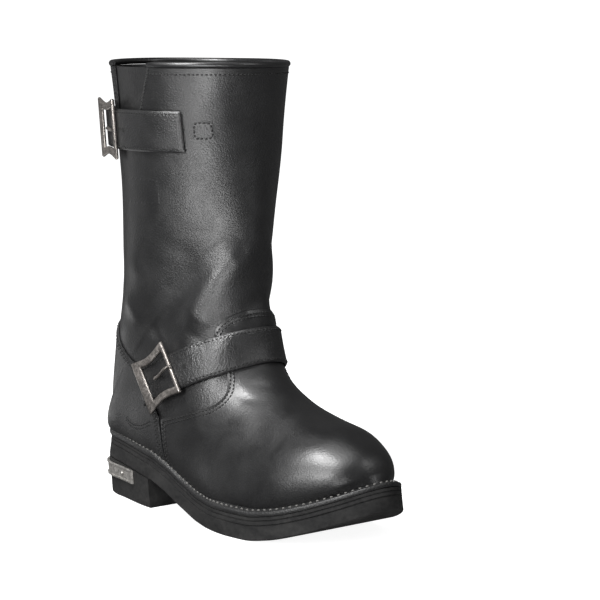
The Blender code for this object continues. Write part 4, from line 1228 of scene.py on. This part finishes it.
def outsole():
    shares = stations(141)
    levels = [(0.0, EDGE_CHAMFER), (0.35 * EDGE_CHAMFER, 0.3 * EDGE_CHAMFER), (EDGE_CHAMFER, 0.0)]
    for k in range(SIDE_GROOVES):
        z = OUTSOLE_THICKNESS - EDGE_CHAMFER - SIDE_GROOVE_PITCH * (SIDE_GROOVES - k - 0.5)
        flare = SOLE_FLARE * z / OUTSOLE_THICKNESS
        half = SIDE_GROOVE_WIDTH / 2
        levels += [(z - half, flare), (z - 0.4 * half, flare + 0.8 * SIDE_GROOVE_DEPTH),
                   (z + 0.4 * half, flare + 0.8 * SIDE_GROOVE_DEPTH), (z + half, flare)]
    levels += [(OUTSOLE_THICKNESS - 0.5 * MM, SOLE_FLARE - 0.1 * MM),
               (OUTSOLE_THICKNESS, SOLE_FLARE + 0.6 * MM)]
    rings = [ring_of(shares, z, inset, inset) for z, inset in levels]
    skin("outsole_rubber", rings, False, rubber, "sole_rubber", ["outsole"], smooth=32)


outsole()


def heel():
    shares = stations(60, BREAST_SHARE)
    chamfer = EDGE_CHAMFER / 2
    rings = [ring_of(shares, 0.0, HEEL_TAPER + chamfer, HEEL_TAPER + chamfer, True),
             ring_of(shares, chamfer, HEEL_TAPER, HEEL_TAPER, True),
             ring_of(shares, -GAP, 0.0, 0.0)]
    skin("heel_rubber", rings, False, rubber, "sole_rubber", ["heel_block"], smooth=32)


heel()


def welt():
    shares = stations(181)
    low, top = OUTSOLE_THICKNESS + GAP, OUTSOLE_THICKNESS + GAP + WELT_THICKNESS
    # Heights, and insets in mm at the heel and at the toe
    profile = ((low, 0.5, 1.9), (low + 0.8 * MM, 0.2, 1.6), (top - 1.2 * MM, 0.2, 1.6),
               (top - 0.3 * MM, 0.4, 2.0), (top + 0.5 * MM, 0.65, 3.6), (top + 1.5 * MM, 0.95, 7.4),
               (top + 1.9 * MM, 1.15, 8.5), (top + 1.5 * MM, 1.4, 9.2), (top, 1.5, 9.3), (top, 8.5, 16.5),
               (low, 8.5, 16.5))
    rings = [ring_of(shares, z, heel_mm * MM, toe_mm * MM) for z, heel_mm, toe_mm in profile]
    skin("welt_leather_strip", rings, True, welt_look, "welt_leather", ["welt"], smooth=40)
    row = ring_of(shares, top + 1.0 * MM, 0.72 * MM, 4.5 * MM)
    along = np.gradient(row, axis=0)
    out = np.stack([along[:, 1], -along[:, 0], np.zeros(len(row))], axis=1)
    out /= np.linalg.norm(out, axis=1, keepdims=True) + 1e-12
    line = np.concatenate([row, out * 0.6 + np.array((0, 0, 0.8))], axis=1)
    sew("welt_stitches", [line], *WELT_STITCH, 0.1 * MM)


welt()

# Heel plate


def heel_side_inset(z):
    return HEEL_TAPER * (1 - (z - EDGE_CHAMFER / 2) / (HEEL_HEIGHT - EDGE_CHAMFER / 2))


def plate():
    side = stations(70, BREAST_SHARE)
    reach = PLATE_REACH / SOLE_LENGTH
    side = np.append(side[(side > 0) & (side < 0.99 * reach)], reach)
    shares = np.concatenate([side[::-1], [0.0], side])
    inner_side = np.arange(len(shares)) > len(side)
    edge, low = PLATE_BORDER, PLATE_TOP - PLATE_HEIGHT
    profile = [(low, 0.8), (low + 0.25 * edge, 1.0), (low + 0.9 * edge, 1.0), (low + 1.2 * edge, 0.62),
               (PLATE_TOP - 1.2 * edge, 0.62), (PLATE_TOP - 0.9 * edge, 1.0), (PLATE_TOP - 0.25 * edge, 1.0),
               (PLATE_TOP, 0.8)]
    rings = []
    for k, share in enumerate(shares):
        end = min(k, len(shares) - 1 - k) < 2
        front, back = [], []
        for z, rise in profile:
            thick = PLATE_THICKNESS * (1.0 if end else rise)
            for depth, line in ((OVERLAY_GAP + thick, front), (OVERLAY_GAP, back)):
                inset = heel_side_inset(z) - depth
                x, outer, inner = outline(share, inset, inset)
                line.append((float(x), float(inner if inner_side[k] else outer), z))
        rings.append(front + back[::-1])
    skin("heel_plate_metal", rings, False, plate_metal, "buckle_metal", ["heel_plate"], smooth=40)


plate()

# Buckles
PRONG_GUIDE = np.array([0.13, -0.55, 0.83])     # a direction no prong points in
HOLE_RADIUS = 1.9 * MM
HOLE_LIFT = 0.22 * MM        # of a hole's disc over the strap's face
HOLE_THICKNESS = 0.12 * MM
HOLE_SIDES = 16
INSTEP_HOLES = (-26, -13, 11)     # along the strap from the buckle's thin bar, mm
TOP_HOLES = (-26, -13, 12)
RAIL_STEPS = 25
RAIL_SIDES = 12
RAIL_FLARE = 0.9 * MM        # how far the rails' ends stand out
WAIST_SHARE = 0.9            # how much of the waist the rails take up
PRONG_STEPS = 24
PRONG_SIDES = 14
PASS_STEPS = 26
PASS_END = 9 * MM            # how far the leather in a buckle's window runs on behind the thick bar


def placed(matrix, points):
    """Points of a piece's own frame, in the boot's."""
    return [np.array(matrix @ Vector(p)) for p in points]


def buckle(name, matrix, length, width, stands_for):
    """The frame as one loop of rounded sections: a thick bar, two waisted rails and a thin bar."""
    left, right = BUCKLE_PIN / 2 - length + BUCKLE_BAR, -BUCKLE_PIN / 2
    pairs = []
    for t in np.linspace(0, 1, RAIL_STEPS):
        x = BUCKLE_PIN / 2 - length * t
        waist = BUCKLE_WAIST * math.sin(math.pi * t) ** 1.5 * WAIST_SHARE
        flare = RAIL_FLARE * (abs(2 * t - 1) ** 6)
        outer_y = width / 2 - waist + flare - RAIL_FLARE * (t in (0.0, 1.0))
        xi = right + (left - right) * t
        bend = math.sin(math.pi * (BUCKLE_PIN / 2 - xi) / length) ** 1.5
        pairs.append(((x, outer_y), (xi, width / 2 - BUCKLE_WAIST * bend * WAIST_SHARE - BUCKLE_RAIL)))
    loop = pairs + [((a[0], -a[1]), (b[0], -b[1])) for a, b in reversed(pairs)]
    rings = []
    for a, b in np.array(loop):
        middle, reach = (a + b) / 2, (b - a) / 2
        ring = []
        for t in circle(RAIL_SIDES):
            c, s = math.cos(t), math.sin(t)
            flat = middle + reach * np.sign(c) * abs(c) ** 0.6
            ring.append((*flat, BUCKLE_THICKNESS / 2 * (1 + np.sign(s) * abs(s) ** 0.7)))
        rings.append(placed(matrix, ring))
    skin(name, rings, True, pewter, "buckle_metal", stands_for, smooth=60)


def prong(name, matrix, length, stands_for):
    """A round pin that comes out of the strap in the window and lies over the thin bar."""
    r = PRONG_DIAMETER / 2
    over = BUCKLE_THICKNESS + GAP + r
    route = np.array([(-0.50 * length, 0, r + GAP), (-0.40 * length, 0, r + 1.2 * GAP),
                      (-0.22 * length, 0, over * 0.72), (-0.10 * length, 0, over), (0.0, 0, over),
                      (0.07 * length, 0, over * 0.92)])
    radii = [r * 0.9 * (1 - 0.35 * max(0.0, t - 0.75) / 0.25) for t in np.linspace(0, 1, PRONG_STEPS)]
    line = np.array(placed(matrix, smooth_line(route, PRONG_STEPS)))
    points = []
    for p, along, radius in zip(line, unit(np.gradient(line, axis=0)), radii):
        side = unit(np.cross(along, PRONG_GUIDE))
        up = np.cross(side, along)
        points += [p + (side * math.cos(a) + up * math.sin(a)) * radius for a in circle(PRONG_SIDES)]
    faces = tube_faces(PRONG_STEPS, PRONG_SIDES)
    make(name, points, faces, pewter, "buckle_metal", stands_for, smooth=60)


def strap_pass(name, matrix, length, width, bend):
    """The strap's leather where it crosses a buckle's window, flatter than the form under it."""
    rings = []
    half = width / 2
    for x in np.linspace(-1.5 * MM, -length - PASS_END, PASS_STEPS):
        free = 0.3 + 0.7 * min(1.0, max(0.0, (-length - x) / PASS_END)) ** 2
        z = -0.2 * MM - free * x * x / (2 * bend)
        ring = [(x, -half, z - 2 * MM), (x, -half, z - 0.3 * MM), (x, -half + 0.8 * MM, z),
                (x, half - 0.8 * MM, z), (x, half, z - 0.3 * MM), (x, half, z - 2 * MM)]
        rings.append(placed(matrix, ring))
    skin(name, rings, False, top_strap_look, "black_leather", smooth=40)


def strap_holes(name, level, slope, places, lift):
    """Round holes through a strap, as thin discs on its face, coloured near black as painted shade of the
    holes' depth.
    """
    points, faces = [], []
    for along in places:
        m = strap_frame(level, slope, along, lift)
        faces += tube_faces(2, HOLE_SIDES, len(points))
        for z in (0.0, HOLE_THICKNESS):
            points += placed(m, [(HOLE_RADIUS * math.cos(t), HOLE_RADIUS * math.sin(t), z)
                                 for t in circle(HOLE_SIDES)])
    make(name, points, faces, painted_hole_shade_look, "black_leather", smooth=30)


instep = strap_frame(INSTEP_LEVEL, INSTEP_SLOPE, INSTEP_BUCKLE, STRAP_HIGH + GAP)
buckle_middle = Matrix.Translation((-BUCKLE_LENGTH / 2, 0, 0))
instep = instep @ buckle_middle @ Matrix.Rotation(INSTEP_BUCKLE_TURN, 4, "Z") @ buckle_middle.inverted()
top = strap_frame(TOP_STRAP_HEIGHT, 0.0, TOP_BUCKLE, TOP_STRAP_HIGH + GAP)
buckle("instep_buckle_frame", instep, BUCKLE_LENGTH, BUCKLE_WIDTH, ["instep_buckle"])
buckle("top_buckle_frame", top, BUCKLE_LENGTH, TOP_BUCKLE_WIDTH, ["top_buckle"])
prong("instep_prong_pin", instep, BUCKLE_LENGTH, ["instep_prong"])
prong("top_prong_pin", top, BUCKLE_LENGTH, ["top_prong"])
strap_pass("top_strap_pass_leather", top, BUCKLE_LENGTH, TOP_STRAP_WIDTH - 1.5 * MM, 55 * MM)
strap_holes("instep_strap_holes", INSTEP_LEVEL, INSTEP_SLOPE,
            [INSTEP_BUCKLE + d * MM for d in INSTEP_HOLES], STRAP_HIGH + HOLE_LIFT)
strap_holes("top_strap_holes", TOP_STRAP_HEIGHT, 0.0, [TOP_BUCKLE + d * MM for d in TOP_HOLES],
            TOP_STRAP_HIGH + HOLE_LIFT)

finish_threads({"dark_stitches": (dark_thread, "black_leather"),
                "welt_stitches": (grey_thread, "welt_leather")})

# Pieces kept from the part
for node, look in (("insole", board), ("heel_plate_screw", plate_metal)):
    kept = bpy.data.objects[node]
    kept.data.materials.clear()
    kept.data.materials.append(look)

# Floor, light and camera
FLOOR_HALF = 60.0
FLOOR_DROP = 0.0002
FLOOR_GLOW = (0.92, 1.1)     # strength near the boot and away from it
FLOOR_FADE = (0.4, 1.6)      # distances between which it changes
WALL_RADIUS = 50
WALL_SPAN = (-1, 30)
WALL_SIDES = 64
WALL_GLOW = 1.2
WORLD_GLOW = 0.10
WHITE = (1, 1, 1, 1)
CAMERA_AZIMUTH, CAMERA_ELEVATION, CAMERA_DISTANCE = math.radians(50.29), math.radians(7.64), 1.6
AIM = Vector((0.2209, 0, 0.1737)) - Vector(ORIGIN)
SENSOR = 36
FOCAL_PIXELS = 2187
PHOTO_PIXELS = 600


def link(thing):
    bpy.context.scene.collection.objects.link(thing)
    return thing


def studio_piece(name, points, faces, look):
    mesh = bpy.data.meshes.new(name)
    mesh.from_pydata(points, [], faces)
    mesh.materials.append(look)
    piece = link(bpy.data.objects.new(name, mesh))
    piece.visible_glossy = False
    return piece


look, tree, shader, place = nodes_of("floor_look", (0.50, 0.50, 0.50), 0.7,
                                     [("Specular IOR Level", 0.2), ("Emission Color", WHITE)])
reach = add(tree, "VectorMath", {}, {0: place}, "Value", operation="LENGTH")
tree.links.new(ramp(tree, reach, *FLOOR_GLOW, FLOOR_FADE), shader.inputs["Emission Strength"])
h = FLOOR_HALF
floor = studio_piece("studio_floor", [(-h, -h, 0), (h, -h, 0), (h, h, 0), (-h, h, 0)], [(0, 1, 2, 3)], look)
floor.location = (0, 0, -FLOOR_DROP)
look = nodes_of("backdrop_look", (0, 0, 0), 0.5, [("Specular IOR Level", 0), ("Emission Color", WHITE),
                                                  ("Emission Strength", WALL_GLOW)])[0]
n = WALL_SIDES
wall = studio_piece("studio_backdrop", [(WALL_RADIUS * math.cos(t), WALL_RADIUS * math.sin(t), z)
                                        for z in WALL_SPAN for t in circle(n)],
                    [(k, (k + 1) % n, n + (k + 1) % n, n + k) for k in range(n)], look)
wall.visible_diffuse = False
wall.visible_shadow = False

world = bpy.data.worlds.new("studio")
bpy.context.scene.world = world
world.use_nodes = True
world.node_tree.nodes["Background"].inputs["Color"].default_value = WHITE
world.node_tree.nodes["Background"].inputs["Strength"].default_value = WORLD_GLOW


def toward(azimuth, elevation):
    return Vector((math.sin(azimuth) * math.cos(elevation), -math.cos(azimuth) * math.cos(elevation),
                   math.sin(elevation)))


def lamp(name, azimuth, elevation, distance, size, power, target=(0.08, 0, 0.16)):
    """A soft rectangular light, its azimuth counted from the camera's, positive to its right."""
    data = bpy.data.lights.new(name, "AREA")
    data.shape = "RECTANGLE"
    data.size, data.size_y = size
    data.energy = power
    thing = link(bpy.data.objects.new(name, data))
    out = toward(CAMERA_AZIMUTH + math.radians(azimuth), math.radians(elevation))
    thing.location = Vector(target) + out * distance
    thing.rotation_euler = out.to_track_quat("Z", "Y").to_euler()
    return thing


# Lamps: name, azimuth, elevation, distance, size, power
for row in (
    ("key_low", -35, 16, 2.3, (0.6, 0.9), 38),
    ("key_high", -42, 52, 2.0, (0.65, 0.65), 58),
    ("right", 62, 30, 1.8, (0.35, 1.1), 5),
    ("top", 8, 80, 1.9, (0.9, 0.9), 9),
    ("left_low", -118, 6, 1.9, (0.5, 1.2), 2),
):
    lamp(*row)

# Lights lying on the floor, for the bright table the leather mirrors: name, azimuth, distance, size, power
for name, azimuth, distance, size, power in (
    ("front_glow", -4, 0.88, (0.44, 0.9), 12),
    ("left_glow", -124, 0.46, (0.35, 0.40), 0.6),
):
    glow = lamp(name, azimuth, 0, distance, size, power, (0.045, 0, 0.012))
    glow.rotation_euler = (math.pi, 0, CAMERA_AZIMUTH + math.radians(azimuth))

data = bpy.data.cameras.new("photo_camera")
data.sensor_width = SENSOR
data.lens = FOCAL_PIXELS / PHOTO_PIXELS * SENSOR
data.clip_end = 200
camera = link(bpy.data.objects.new("photo_camera", data))
back = toward(CAMERA_AZIMUTH, CAMERA_ELEVATION)
camera.location = AIM + back * CAMERA_DISTANCE
camera.rotation_euler = back.to_track_quat("Z", "Y").to_euler()
bpy.context.scene.camera = camera
bpy.context.scene.view_settings.view_transform = "Standard"
